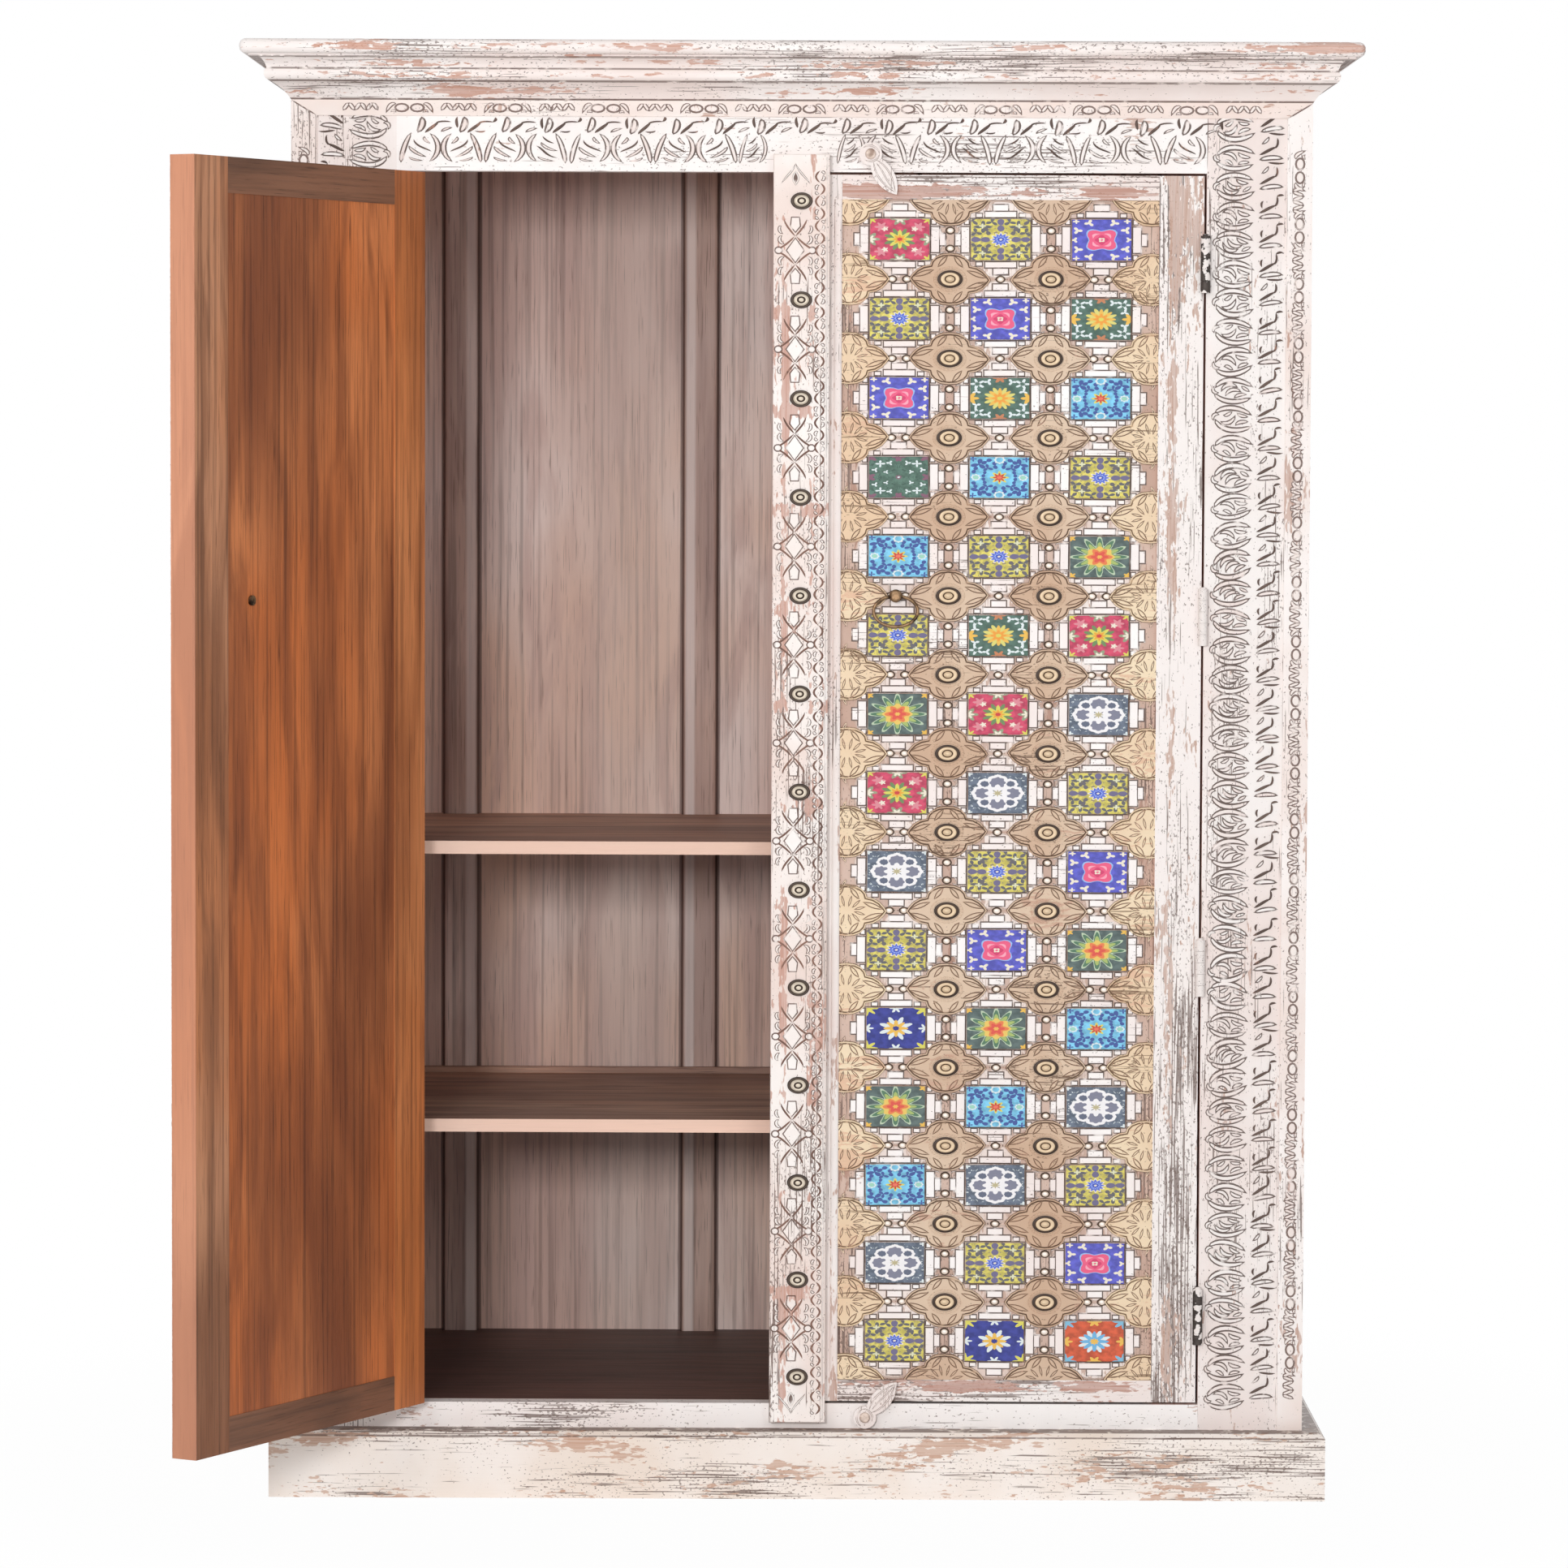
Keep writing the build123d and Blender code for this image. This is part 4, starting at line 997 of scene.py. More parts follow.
@dataclass(frozen=True)
class Turned:
    """A round shape turned from a profile of radius and height, and squeezed to an oval."""

    profile: tuple[Point, ...]
    centre: Point = (0.0, 0.0)
    squeeze: Point = (1.0, 1.0)
    sides: int = 16
    # Faces between the radii of a dark ring take the second finish, painted shade in that ring.
    dark_rings: tuple[Point, ...] = ()

    def cut(self, sheet: bmesh.types.BMesh) -> None:
        """Spin the profile about the upright axis."""
        line = [sheet.verts.new((radius, 0, rise)) for radius, rise in self.profile]
        edges = [sheet.edges.new(pair) for pair in zip(line, line[1:])]
        before = set(sheet.verts) - set(line)
        bmesh.ops.spin(
            sheet,
            geom=line + edges,
            cent=(0, 0, 0),
            axis=(0, 0, 1),
            angle=math.tau,
            steps=self.sides,
            use_merge=True,
        )
        turned = [vertex for vertex in sheet.verts if vertex not in before]
        bmesh.ops.remove_doubles(sheet, verts=turned, dist=0.001)
        turned = [vertex for vertex in sheet.verts if vertex not in before]
        for face in {face for vertex in turned for face in vertex.link_faces}:
            middle = face.calc_center_median().to_2d().length
            if any(low < middle < high for low, high in self.dark_rings):
                face.material_index = 1
        squeeze = Matrix.Diagonal((*self.squeeze, 1, 1))
        move = Matrix.Translation((*self.centre, 0))
        bmesh.ops.transform(sheet, matrix=move @ squeeze, verts=turned)


Stroke = Blade | Plate | Turned


def repeated(blades: Sequence[Blade], ways: Sequence[tuple[int, int]] = LEFT_AND_RIGHT) -> list[Blade]:
    """Repeat strokes once for each way of mirroring them."""
    return [blade.flipped(*way) for way in ways for blade in blades]


def oval(width: float, height: float, sides: int, centre: Point = (0.0, 0.0)) -> tuple[Point, ...]:
    """Give the corners of an oval."""
    turns = [math.tau * step / sides for step in range(sides)]
    return tuple(
        (centre[0] + width / 2 * math.cos(turn), centre[1] + height / 2 * math.sin(turn)) for turn in turns
    )


def lens(width: float, height: float, centre: Point, tilt: float) -> tuple[Point, ...]:
    """Give the corners of a pointed lens, tilted by an angle in degrees."""
    turn = math.radians(tilt)
    corners = []
    for side in (1, -1):
        for step in range(6):
            along = side * (0.5 - step / 6) * width
            out = side * height / 2 * (1 - (2 * along / width) ** 2)
            x = along * math.cos(turn) - out * math.sin(turn)
            y = along * math.sin(turn) + out * math.cos(turn)
            corners.append((centre[0] + x, centre[1] + y))
    return tuple(corners)


def rectangle(width: float, height: float, centre: Point = (0.0, 0.0)) -> tuple[Point, ...]:
    """Give the corners of a rectangle."""
    half_width, half_height = width / 2, height / 2
    signs = ((-1, -1), (1, -1), (1, 1), (-1, 1))
    return tuple((centre[0] + a * half_width, centre[1] + b * half_height) for a, b in signs)


def motif(name: str, strokes: Sequence[Stroke]) -> bpy.types.Mesh:
    """Carve the strokes into one closed mesh in millimetres.

    Args:
        name: The mesh's name.
        strokes: What is carved.

    Returns:
        The mesh, which is stamped wherever the shape is repeated.
    """
    sheet = bmesh.new()
    for stroke in strokes:
        stroke.cut(sheet)
    open_edges = [edge for edge in sheet.edges if edge.is_boundary]
    bmesh.ops.holes_fill(sheet, edges=open_edges, sides=0)
    bmesh.ops.recalc_face_normals(sheet, faces=sheet.faces)
    return as_mesh(sheet, name)


def spot(x: float, y: float, z: float, turn: float = 0.0, wide: float = 1.0, tall: float = 1.0) -> Matrix:
    """Give the matrix that stands a flat shape up at a place in millimetres.

    Args:
        x: Place to the right.
        y: Depth of the ground it lies on.
        z: Place up.
        turn: Turn in the plane of the front, in degrees.
        wide: Scale along the shape's own width. A negative one mirrors it.
        tall: Scale along the shape's own height.

    Returns:
        The matrix, in metres.
    """
    move = Matrix.Translation(Vector((x, y, z)) * MILLIMETRE)
    flat = Matrix.Rotation(math.radians(turn), 4, "Z") @ Matrix.Diagonal((wide, tall, 1, 1))
    return move @ STAND_UP @ flat


class Carving:
    """Gathers stamped shapes into one piece."""

    def __init__(self, name: str) -> None:
        """Start an empty piece."""
        self.name = name
        self.sheet = bmesh.new()

    def stamp(self, shape: bpy.types.Mesh, place: Matrix, material: int = 0) -> None:
        """Add a copy of a shape.

        Args:
            shape: The mesh to copy.
            place: Where the copy goes.
            material: The index that its first finish has in the piece.
        """
        copy = shape.copy()
        copy.transform(place)
        if place.determinant() < 0:
            copy.flip_normals()
        if material:
            indices = [face.material_index or material for face in copy.polygons]
            copy.polygons.foreach_set("material_index", indices)
        self.sheet.from_mesh(copy)
        bpy.data.meshes.remove(copy)

    def trim(self, keep_x: Point, keep_z: Point) -> None:
        """Cut off what lies outside a window, and close the cuts.

        Args:
            keep_x: The window's left and right sides.
            keep_z: Its lower and upper sides.
        """
        for axis, low, high in ((0, *keep_x), (2, *keep_z)):
            for side, value in ((-1, low), (1, high)):
                point, normal = Vector((0, 0, 0)), Vector((0, 0, 0))
                point[axis] = value * MILLIMETRE
                normal[axis] = side
                parts = [*self.sheet.verts, *self.sheet.edges, *self.sheet.faces]
                cut = bmesh.ops.bisect_plane(
                    self.sheet, geom=parts, plane_co=point, plane_no=normal, clear_outer=True
                )
                rim = [part for part in cut["geom_cut"] if isinstance(part, bmesh.types.BMEdge)]
                bmesh.ops.holes_fill(self.sheet, edges=[edge for edge in rim if edge.is_boundary], sides=0)

    def finish(
        self,
        materials: Sequence[bpy.types.Material],
        body: str,
        slot: str,
        hand: Hand = Hand.RIGHT,
        stands_for: Sequence[str] = (),
        smooth: bool = False,
    ) -> bpy.types.Object:
        """Make the piece's object, and hang it on its body.

        Args:
            materials: Its finishes.
            body: The body it rides on.
            slot: Not used.
            hand: LEFT mirrors the piece and swings it open.
            stands_for: The nodes that it replaces.
            smooth: Whether its faces shade as one.

        Returns:
            The object.
        """
        mesh = as_mesh(self.sheet, self.name)
        if hand is Hand.LEFT:
            mesh.transform(HANG_LEFT)
            mesh.flip_normals()
        for material in materials:
            mesh.materials.append(material)
        if smooth:
            mesh.polygons.foreach_set("use_smooth", [True] * len(mesh.polygons))
            mesh.set_sharp_from_angle(angle=SHARP_ANGLE)
        piece = add_object(self.name, mesh)
        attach(piece, body)
        if stands_for:
            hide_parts(*stands_for)
        LOG.info("%s: %d faces", self.name, len(mesh.polygons))
        return piece


def leaf_scroll() -> list[bpy.types.Mesh]:
    """Carve the cells of the inner row: two double arcs that close round small leaves.

    Returns:
        Two variants, 48 wide and 35.5 high.
    """
    arcs = (
        Blade((-23, 0), (-17, 15), (6, 18), (25, 7), 8.4, 2.8, 9, 0.4),
        Blade((-24, -6), (-14, -18), (8, -17), (24, -6), 8.0, 2.6, 9, 0.4),
        Blade((-24, 3), (-28, -3), (-23, -8), (-17, -5), 5.4, 2.4, 6),
    )
    first = arcs + (
        Blade((-15, -4), (-13, 7), (-3, 10), (6, 4), 6.4, 2.4, 7),
        Blade((-9, -9), (-7, 1), (2, 4), (11, -1), 6.4, 2.4, 7),
        Blade((2, -10), (5, -5), (11, -3), (18, -3), 5.6, 2.2, 6),
        Blade((9, 7), (12, 5), (17, 3), (21, 1), 5.0, 2.2, 5),
    )
    second = arcs + (
        Blade((-16, 3), (-8, 8), (0, 4), (3, -6), 6.4, 2.4, 7),
        Blade((-13, -5), (-8, -3), (-5, -8), (-1, -10), 5.2, 2.2, 6),
        Blade((3, 8), (6, 2), (13, 2), (20, 2), 6.0, 2.4, 6),
        Blade((4, -9), (8, -4), (14, -5), (19, -4), 5.4, 2.2, 6),
    )
    return [motif("leaf_scroll_a", first), motif("leaf_scroll_b", second)]


def leaf_vee() -> list[bpy.types.Mesh]:
    """Carve the cells of the top rail: one straight arm, one round arm and small leaves between, with dark
    strokes that paint the shade in the cuts.

    Returns:
        Two variants, 48 wide and 35.5 high.
    """
    arms = (
        Blade((-25, -15.5), (-12, -15), (8, -12.5), (25, -7), 5.2, 2.8, 8, 0.35),
        Blade((-23, 8), (-12, 18), (12, 18), (24, 8.5), 5.4, 2.8, 9, 0.4),
    )
    first = arms + (
        Blade((-16, -9), (-13, 2), (-2, 2), (4, 9), 2.4, 2.4, 8, 0.5, True),
        Blade((-4, -9), (-4, -3), (3, 4), (10, 5), 4.4, 2.4, 7),
        Blade((8, -6), (10, -2), (12, 1), (20, 4), 2.2, 2.2, 6, 0.5, True),
        Blade((-21, -7), (-21, 0), (-18, 5), (-14, 8), 3.6, 2.2, 6),
    )
    second = arms + (
        Blade((-15, 6), (-12, -1), (-4, -7), (3, -9), 4.6, 2.4, 7),
        Blade((-6, 10), (-1, 6), (2, -4), (14, -5), 2.4, 2.4, 8, 0.5, True),
        Blade((7, 9), (10, 6), (14, 3), (19, 4), 3.8, 2.2, 6),
        Blade((-21, 3), (-21, -3), (-19, -7), (-15, -9), 3.6, 2.2, 6),
    )
    return [motif("leaf_vee_a", first), motif("leaf_vee_b", second)]


def leaf_hook() -> list[bpy.types.Mesh]:
    """Carve the cells of the outer row: a broad leaf lobe with a hooked edge whose dark strokes paint its
    shadow.

    Returns:
        Two variants, 34 wide and 35.5 high.
    """
    lobe = (
        Blade((-13, -15), (-4, -12), (6, -10), (17, -12), 7.0, 2.2, 8, 0.45),
        Blade((-13, -9), (-6, -6), (0, -1), (8, 2), 3.8, 2.6, 7, 0.5, True),
        Blade((5, 0), (9, 2), (10, 7), (8, 13), 2.8, 2.4, 6, 0.3, True),
    )
    first = lobe + (
        Blade((-3, 18), (3, 18), (10, 16), (18, 18), 2.6, 1.8, 6, 0.5, True),
        Blade((-11, 4), (-6, 7), (-3, 10), (-2, 14), 4.6, 2.0, 6),
    )
    second = lobe + (
        Blade((-9, -3), (-11, 1), (-11, 4), (-8, 6), 2.8, 2.0, 5, 0.5, True),
        Blade((8, 12), (10, 14), (13, 15), (17, 14), 2.8, 2.0, 5, 0.5, True),
    )
    return [motif("leaf_hook_a", first), motif("leaf_hook_b", second)]


BORDER_STEPS = ((0.01, 0.3), (1.5, 0.1), (0.6, 1.3))


def border_motifs() -> tuple[bpy.types.Mesh, bpy.types.Mesh]:
    """Carve the border's two cells: a run of chevrons, and a blossom between two curls.

    Returns:
        The chevrons and the blossom, along X, about 36 wide and 14 high.
    """
    chevrons = []
    for step in range(3):
        left = -16 + step * 10.7
        peak = left + 5.3
        chevrons.append(Blade((left, -3), (left + 2, 0), (left + 4, 3), (peak, 5), 4.6, 1.6, 4, 0.2))
        chevrons.append(Blade((peak, 5), (left + 7, 3), (left + 9, 0), (left + 10.7, -3), 4.6, 1.6, 4, 0.2))
    petals = [Plate(oval(13, 10, 12, (middle, 0)), BORDER_STEPS) for middle in (-6.6, 6.6)]
    curls = repeated((
        Blade((20, -6), (17, 3), (15, 5), (11, 4), 4.6, 1.6, 6),
        Blade((16, -5), (14, -2), (13, -3), (11, -5), 3.2, 1.5, 5),
    ))
    return motif("border_chevrons", chevrons), motif("border_blossom", petals + curls)


@dataclass
class FrameCarving:
    """The two carved rows round the opening, and the border's cells."""

    inner_row_x: float = 530.0
    outer_row_x: float = 573.0
    side_low: float = 108.0
    side_cell: float = 35.5
    side_cells: int = 45
    hook_lift: float = 12.0
    top_inner_z: float = 1661.0
    top_outer_z: float = 1687.5
    top_cell: float = 52.0
    top_cells: int = 19
    top_scale: float = 0.74
    hook_scale: float = 0.66
    hook_step: float = 20.0
    head_x: float = 60.0
    head_squeeze: float = 0.68
    border_z: float = 1709.5
    border_top_cell: float = 120.0
    border_top_cells: int = 10
    border_x: float = 609.5
    border_low: float = 140.0
    border_side_cell: float = 73.0
    border_side_cells: int = 21
    dice: random.Random = field(default_factory=lambda: random.Random(7))

    def jitter(self, amount: float) -> float:
        """Give a small random step, as a carver's hand does."""
        return self.dice.uniform(-amount, amount)

    def side_rows(self, piece: Carving, side: int) -> None:
        """Stamp the two rows of one stile."""
        scrolls, hooks = leaf_scroll(), leaf_hook()
        for number in range(self.side_cells):
            z = self.side_low + (number + 0.5) * self.side_cell
            scroll = self.dice.choice(scrolls)
            tall = self.dice.choice((-1, 1)) * (1 + self.jitter(0.1))
            place = spot(side * self.inner_row_x, FRAME_FRONT, z, self.jitter(8), side * 0.98, tall)
            piece.stamp(scroll, place)
            hook = self.dice.choice(hooks)
            place = spot(side * self.outer_row_x, FRAME_FRONT, z + self.hook_lift, self.jitter(4), side,
                         1 + self.jitter(0.05))
            piece.stamp(hook, place)

    def top_rows(self, piece: Carving) -> None:
        """Stamp the two rows of the top rail, clear of the cover strip's head."""
        vees, hooks = leaf_vee(), leaf_hook()
        wide = self.top_cell / self.side_cell
        for number in range(self.top_cells):
            from_middle = number - self.top_cells // 2
            x = from_middle * self.top_cell
            side = 1 if number % 2 else -1
            beside_head = abs(from_middle) == 1
            if from_middle:
                piece.stamp(
                    self.dice.choice(vees),
                    spot(math.copysign(self.head_x, x) if beside_head else x, FRAME_FRONT, self.top_inner_z,
                         90 + self.jitter(2), self.top_scale,
                         wide * side * (self.head_squeeze if beside_head else 1)),
                )
            piece.stamp(
                self.dice.choice(hooks),
                spot(x + self.hook_step, FRAME_FRONT, self.top_outer_z, 90 + self.jitter(3),
                     self.hook_scale, -wide),
            )

    def border_rows(self, piece: Carving) -> None:
        """Stamp chevrons and blossoms along the border's top and sides."""
        chevrons, blossom = border_motifs()
        for number in range(self.border_top_cells):
            x = (number - (self.border_top_cells - 1) / 2) * self.border_top_cell
            piece.stamp(chevrons, spot(x, BORDER_FRONT, self.border_z, self.jitter(1), 1.35, 1.2))
            if number < self.border_top_cells - 1:
                middle = x + self.border_top_cell / 2
                piece.stamp(blossom, spot(middle, BORDER_FRONT, self.border_z, self.jitter(1), 1.45, 1.15))
        mitre = Blade((594.5, 1700.5), (604, 1706), (614, 1712), (624.5, 1718.5), 1.8, 0.5, 6, 0.1)
        piece.stamp(motif("border_corner", repeated([mitre])), spot(0, BORDER_FRONT, 0))
        for side in (-1, 1):
            x = side * self.border_x
            for number in range(self.border_side_cells):
                z = self.border_low + number * self.border_side_cell
                piece.stamp(chevrons, spot(x, BORDER_FRONT, z, 90, 1.05, side * 1.8))
                place = spot(x, BORDER_FRONT, z + self.border_side_cell / 2, 90, 1.25, side * 1.3)
                piece.stamp(blossom, place)

    def build(self) -> None:
        """Build and dress the frame's carving."""
        # The paint goes dark at the foot of the carving as painted shade, and the dark finish paints the shade
        # in the dark strokes.
        finish = PaintFinish("carved_frame_paint", wear=0.0, dryness=0.0, relief_front=FRAME_FRONT,
                             line=(88, 70, 62), relief_lines=(0.1, 1.8)).material()
        shade_finish = PaintFinish("carved_frame_shade", paint=(88, 72, 66), tint=(110, 92, 84)).material()
        for side, label in ((-1, "left"), (1, "right")):
            piece = Carving(f"frame_{label}_carving")
            self.side_rows(piece, side)
            piece.finish([finish, shade_finish], "cabinet", "white_painted_wood")
        piece = Carving("frame_top_carving")
        self.top_rows(piece)
        piece.finish([finish, shade_finish], "cabinet", "white_painted_wood")
        # The border's paint goes dark at the foot of its carving as painted shade.
        border = PaintFinish("carved_border_paint", wear=0.15, dryness=0.1, relief_front=BORDER_FRONT,
                             paint=(246, 236, 231), line=(112, 90, 82), relief_lines=(0.1, 1.2)).material()
        piece = Carving("border_carving")
        self.border_rows(piece)
        piece.finish([border], "cabinet", "white_painted_wood")


def cell_centres() -> list[tuple[int, int, float, float]]:
    """Give row, column and place of each tile, from the top left."""
    return [
        (row, column, FIELD_CENTRE[0] + (column - COLUMNS // 2) * COLUMN_PITCH,
         FIELD_CENTRE[1] + (ROWS // 2 - row) * ROW_PITCH)
        for row in range(ROWS)
        for column in range(COLUMNS)
    ]


def knot_centres() -> list[tuple[int, int, float, float]]:
    """Give column, row and place of each rosette, the clipped ones too."""
    return [
        (column, row, FIELD_CENTRE[0] + (column - COLUMNS / 2) * COLUMN_PITCH,
         FIELD_CENTRE[1] + (row - ROWS / 2) * ROW_PITCH)
        for column in range(COLUMNS + 1)
        for row in range(ROWS + 1)
    ]


@dataclass
class DoorFront:
    """The tiled and carved front of one door."""

    hand: Hand
    tile_width: float = 72.5
    tile_height: float = 50.0
    tile_thickness: float = 5.0
    tile_rounding: float = 1.1
    half_width: float = 50.5
    half_height: float = 32.5
    rosette_rays: int = 12
    rosette_dots: int = 26
    dice: random.Random = field(default_factory=lambda: random.Random(11))

    @property
    def prefix(self) -> str:
        """Give the start of the door's node names, which is its body's name too."""
        return f"{self.hand.value}_door"

    def paint(self, name: str, front: float | None = FIELD_FRONT, **looks: object) -> bpy.types.Material:
        """Mix one of this door's paints.

        Args:
            name: What it is for.
            front: The ground of the carving, along whose foot the paint goes dark as painted shade, if it has
                any.
            looks: The paint's other values.

        Returns:
            The material.
        """
        return PaintFinish(f"{name}_{self.hand.value}", relief_front=front, hand=self.hand, **looks).material()

    def metal(self, name: str, high: Shade, low: Shade, lines: Point) -> bpy.types.Material:
        """Give one of this door's boss finishes."""
        return BossFinish(f"{name}_{self.hand.value}", FIELD_FRONT, high, low, lines, self.hand).material()

    def hang(
        self,
        piece: Carving,
        materials: Sequence[bpy.types.Material],
        slot: str,
        stands_for: str = "",
        smooth: bool = False,
    ) -> None:
        """Hang a piece on this door.

        Args:
            piece: The piece.
            materials: Its finishes.
            slot: Passed on, and not used.
            stands_for: What the door's node that it replaces is called, if there is one.
            smooth: Whether its faces shade as one.
        """
        replaced = [f"{self.prefix}_{stands_for}"] if stands_for else []
        piece.finish(materials, self.prefix, slot, self.hand, replaced, smooth)

    def tile_shape(self) -> bpy.types.Mesh:
        """Make one tile with a soft edge, and lay its UV map over its face."""
        sheet = bmesh.new()
        bmesh.ops.create_cube(sheet, size=1)
        size = (self.tile_width, self.tile_height, self.tile_thickness)
        bmesh.ops.scale(sheet, vec=size, verts=sheet.verts)
        bmesh.ops.translate(sheet, vec=(0, 0, self.tile_thickness / 2), verts=sheet.verts)
        top = [edge for edge in sheet.edges if min(v.co.z for v in edge.verts) > self.tile_thickness / 2]
        bmesh.ops.bevel(
            sheet,
            geom=top,
            offset=self.tile_rounding,
            offset_type="OFFSET",
            segments=3,
            profile=0.5,
            affect="EDGES",
            material=-1,
        )
        layer = sheet.loops.layers.uv.new("UVMap")
        for face in sheet.faces:
            for loop in face.loops:
                corner = loop.vert.co
                loop[layer].uv = (corner.x / self.tile_width + 0.5, corner.y / self.tile_height + 0.5)
        return as_mesh(sheet, "tile_shape")

    def tiles(self, glazes: dict[str, bpy.types.Material]) -> None:
        """Set the tiles in their diagonal order of glazes."""
        shape = self.tile_shape()
        piece = Carving(f"{self.prefix}_glazed_tiles")
        kinds = list(glazes)
        for row, column, x, z in cell_centres():
            kind = ODD_TILES.get((row, column), DIAGONAL_ORDER[row + column])
            tilt = self.dice.uniform(-0.5, 0.5)
            piece.stamp(shape, spot(x, FIELD_FRONT, z, tilt), kinds.index(kind))
        self.hang(piece, list(glazes.values()), "glazed_tile", "tiles")

    def arches(self) -> None:
        """Lay the low white disc that each tile and its blocks stand on."""
        disc = motif("tile_arch", [Plate(oval(107, 96, 40), ((0.01, 0.3), (1.4, 0.1), (0.7, 0.6)))])
        piece = Carving(f"{self.prefix}_white_arches")
        for _, _, x, z in cell_centres():
            piece.stamp(disc, spot(x, FIELD_FRONT, z))
        finish = self.paint("arch_paint", paint=(246, 234, 228), tint=(220, 196, 184), bare=(196, 164, 148),
                            line=(204, 182, 170), wear=1.0, dryness=0.8, relief_lines=(0.1, 0.7))
        self.hang(piece, [finish], "white_painted_wood")

    def surround_shape(self) -> bpy.types.Mesh:
        """Cut the stepped white frame of one tile: a dark rim that paints the shadow in the tile's joint, and
        two blocks out from each side.
        """
        rim, joint = 1.4, 0.5
        across, up = self.tile_width / 2 + joint + rim, self.tile_height / 2 + joint + rim
        rim_steps = ((0.2, 1.6), (0.4, 0.1))
        steps = ((0.01, 1.15), (1.0, 0.1), (0.8, 1.5))
        corner_steps = ((0.01, 1.15), (0.9, 0.1), (0.6, 1.4))
        # The first two blocks are the rim, whose walls take the dark finish as painted shade.
        blocks = (
            (2 * across, rim, 0, up - rim / 2, rim_steps, (0, 1)),
            (rim, 2 * (up - rim), across - rim / 2, 0, rim_steps, (0, 1)),
            (41, 9.6, 0, up + 3.8, steps, ()),
            (21, 10.0, 0, up + 12.0, steps, ()),
            (12.6, 34, across + 5.2, 0, steps, ()),
            (9.4, 17, across + 14.2, 0, steps, ()),
            (9.5, 6.6, 26.4, up + 2.8, corner_steps, ()),
            (7.4, 7.4, across + 3.4, 21.6, corner_steps, ()),
        )
        strokes = []
        for width, height, x, y, lifts, dark in blocks:
            for centre in sorted({(wide * x, tall * y) for wide, tall in FOUR_WAYS}):
                strokes.append(Plate(rectangle(width, height, centre), lifts, True, dark))
        return motif("tile_surround", strokes)

    def surrounds(self) -> None:
        """Set a surround round each tile."""
        shape = self.surround_shape()
        piece = Carving(f"{self.prefix}_tile_surrounds")
        for _, _, x, z in cell_centres():
            piece.stamp(shape, spot(x, FIELD_FRONT, z, self.dice.uniform(-0.4, 0.4)))
        # The paint goes dark low on the blocks as painted shade, and the second finish paints the shadow of
        # the tiles' joints on the rims.
        finish = self.paint("surround_paint", grain=Grain.ALONG_X, paint=(254, 250, 248), tint=(246, 234, 230),
                            line=(88, 68, 58), wear=-0.3, dryness=0.1, relief_lines=(1.0, 2.4))
        shade_finish = self.paint("rim_shade", None, paint=(84, 66, 58), tint=(116, 94, 84))
        self.hang(piece, [finish, shade_finish], "white_painted_wood")

    def rosette_outline(self, scale: float = 1.0) -> tuple[Point, ...]:
        """Draw four pointed petals whose sides bulge and meet in notches."""
        half_width, half_height = self.half_width * scale, self.half_height * scale
        quarter = [
            (1.0, 0.0), (0.93, 0.18), (0.82, 0.36), (0.66, 0.5), (0.5, 0.54),
            (0.48, 0.68), (0.38, 0.85), (0.2, 0.97),
        ]
        corners = [(half_width * x, half_height * y) for x, y in quarter]
        loop = corners + [(0.0, half_height)] + [(-x, y) for x, y in reversed(corners)]
        return tuple(loop + [(x, -y) for x, y in reversed(loop[1:-1])])

    def rosette_shape(self, ringed: bool) -> bpy.types.Mesh:
        """Carve one rosette, with two leaves in each petal.

        Args:
            ringed: Whether it has a seat and a ring of dots for a boss, or else rays.

        Returns:
            The mesh.
        """
        ridges = ((1.2, 3.6), (1.0, 0.0), (0.8, -2.0), (0.6, 0.0), (0.8, 2.0))
        strokes: list[Stroke] = [Plate(self.rosette_outline(), ridges)]
        # The walls of the leaves and of the rays take the dark finish, painted shade in their cuts.
        leaf_steps = ((0.01, 3.7), (1.2, 0.2), (0.5, 0.5))
        leaves = ((27, 6.2, 32.5, 6.6, -19), (19, 6.0, 9.6, 21.5, -50))
        for side, other in FOUR_WAYS:
            for length, width, x, y, tilt in leaves:
                outline = lens(length, width, (side * x, other * y), side * other * tilt)
                strokes.append(Plate(outline, leaf_steps, dark_steps=(1,)))
        if not ringed:
            ray_steps = ((0.01, 3.7), (0.9, 0.2))
            for step in range(self.rosette_rays):
                turn = math.tau * (step + 0.5) / self.rosette_rays
                centre = (17 * math.cos(turn), 12 * math.sin(turn))
                strokes.append(Plate(lens(15, 3.4, centre, math.degrees(turn)), ray_steps, dark_steps=(1,)))
            return motif("rosette", strokes)
        # The seat's dark rings paint the shade round the boss.
        seat = ((20.6, 3.0), (20.2, 3.9), (16.5, 3.9), (15.5, 3.0))
        strokes.append(Turned(seat, squeeze=(1.0, 0.74), sides=32, dark_rings=((14.0, 16.2), (19.9, 22.0))))
        for step in range(self.rosette_dots):
            turn = math.tau * step / self.rosette_dots
            centre = (18.9 * math.cos(turn), 14.0 * math.sin(turn))
            strokes.append(Turned(((1.9, 3.2), (1.4, 4.6), (0.0, 5.0)), centre, sides=6))
        return motif("ringed_rosette", strokes)

    def rosettes(self) -> None:
        """Set the rosettes, the clipped ones golden."""
        ringed, plain = self.rosette_shape(True), self.rosette_shape(False)
        piece = Carving(f"{self.prefix}_carved_rosettes")
        for column, row, x, z in knot_centres():
            edge = column in (0, COLUMNS)
            turn = self.dice.uniform(-1.5, 1.5)
            whole = not edge and 0 < row < ROWS
            piece.stamp(ringed if whole else plain, spot(x, FIELD_FRONT, z, turn), 2 if edge else 0)
        piece.trim(FIELD_X, FIELD_Z)
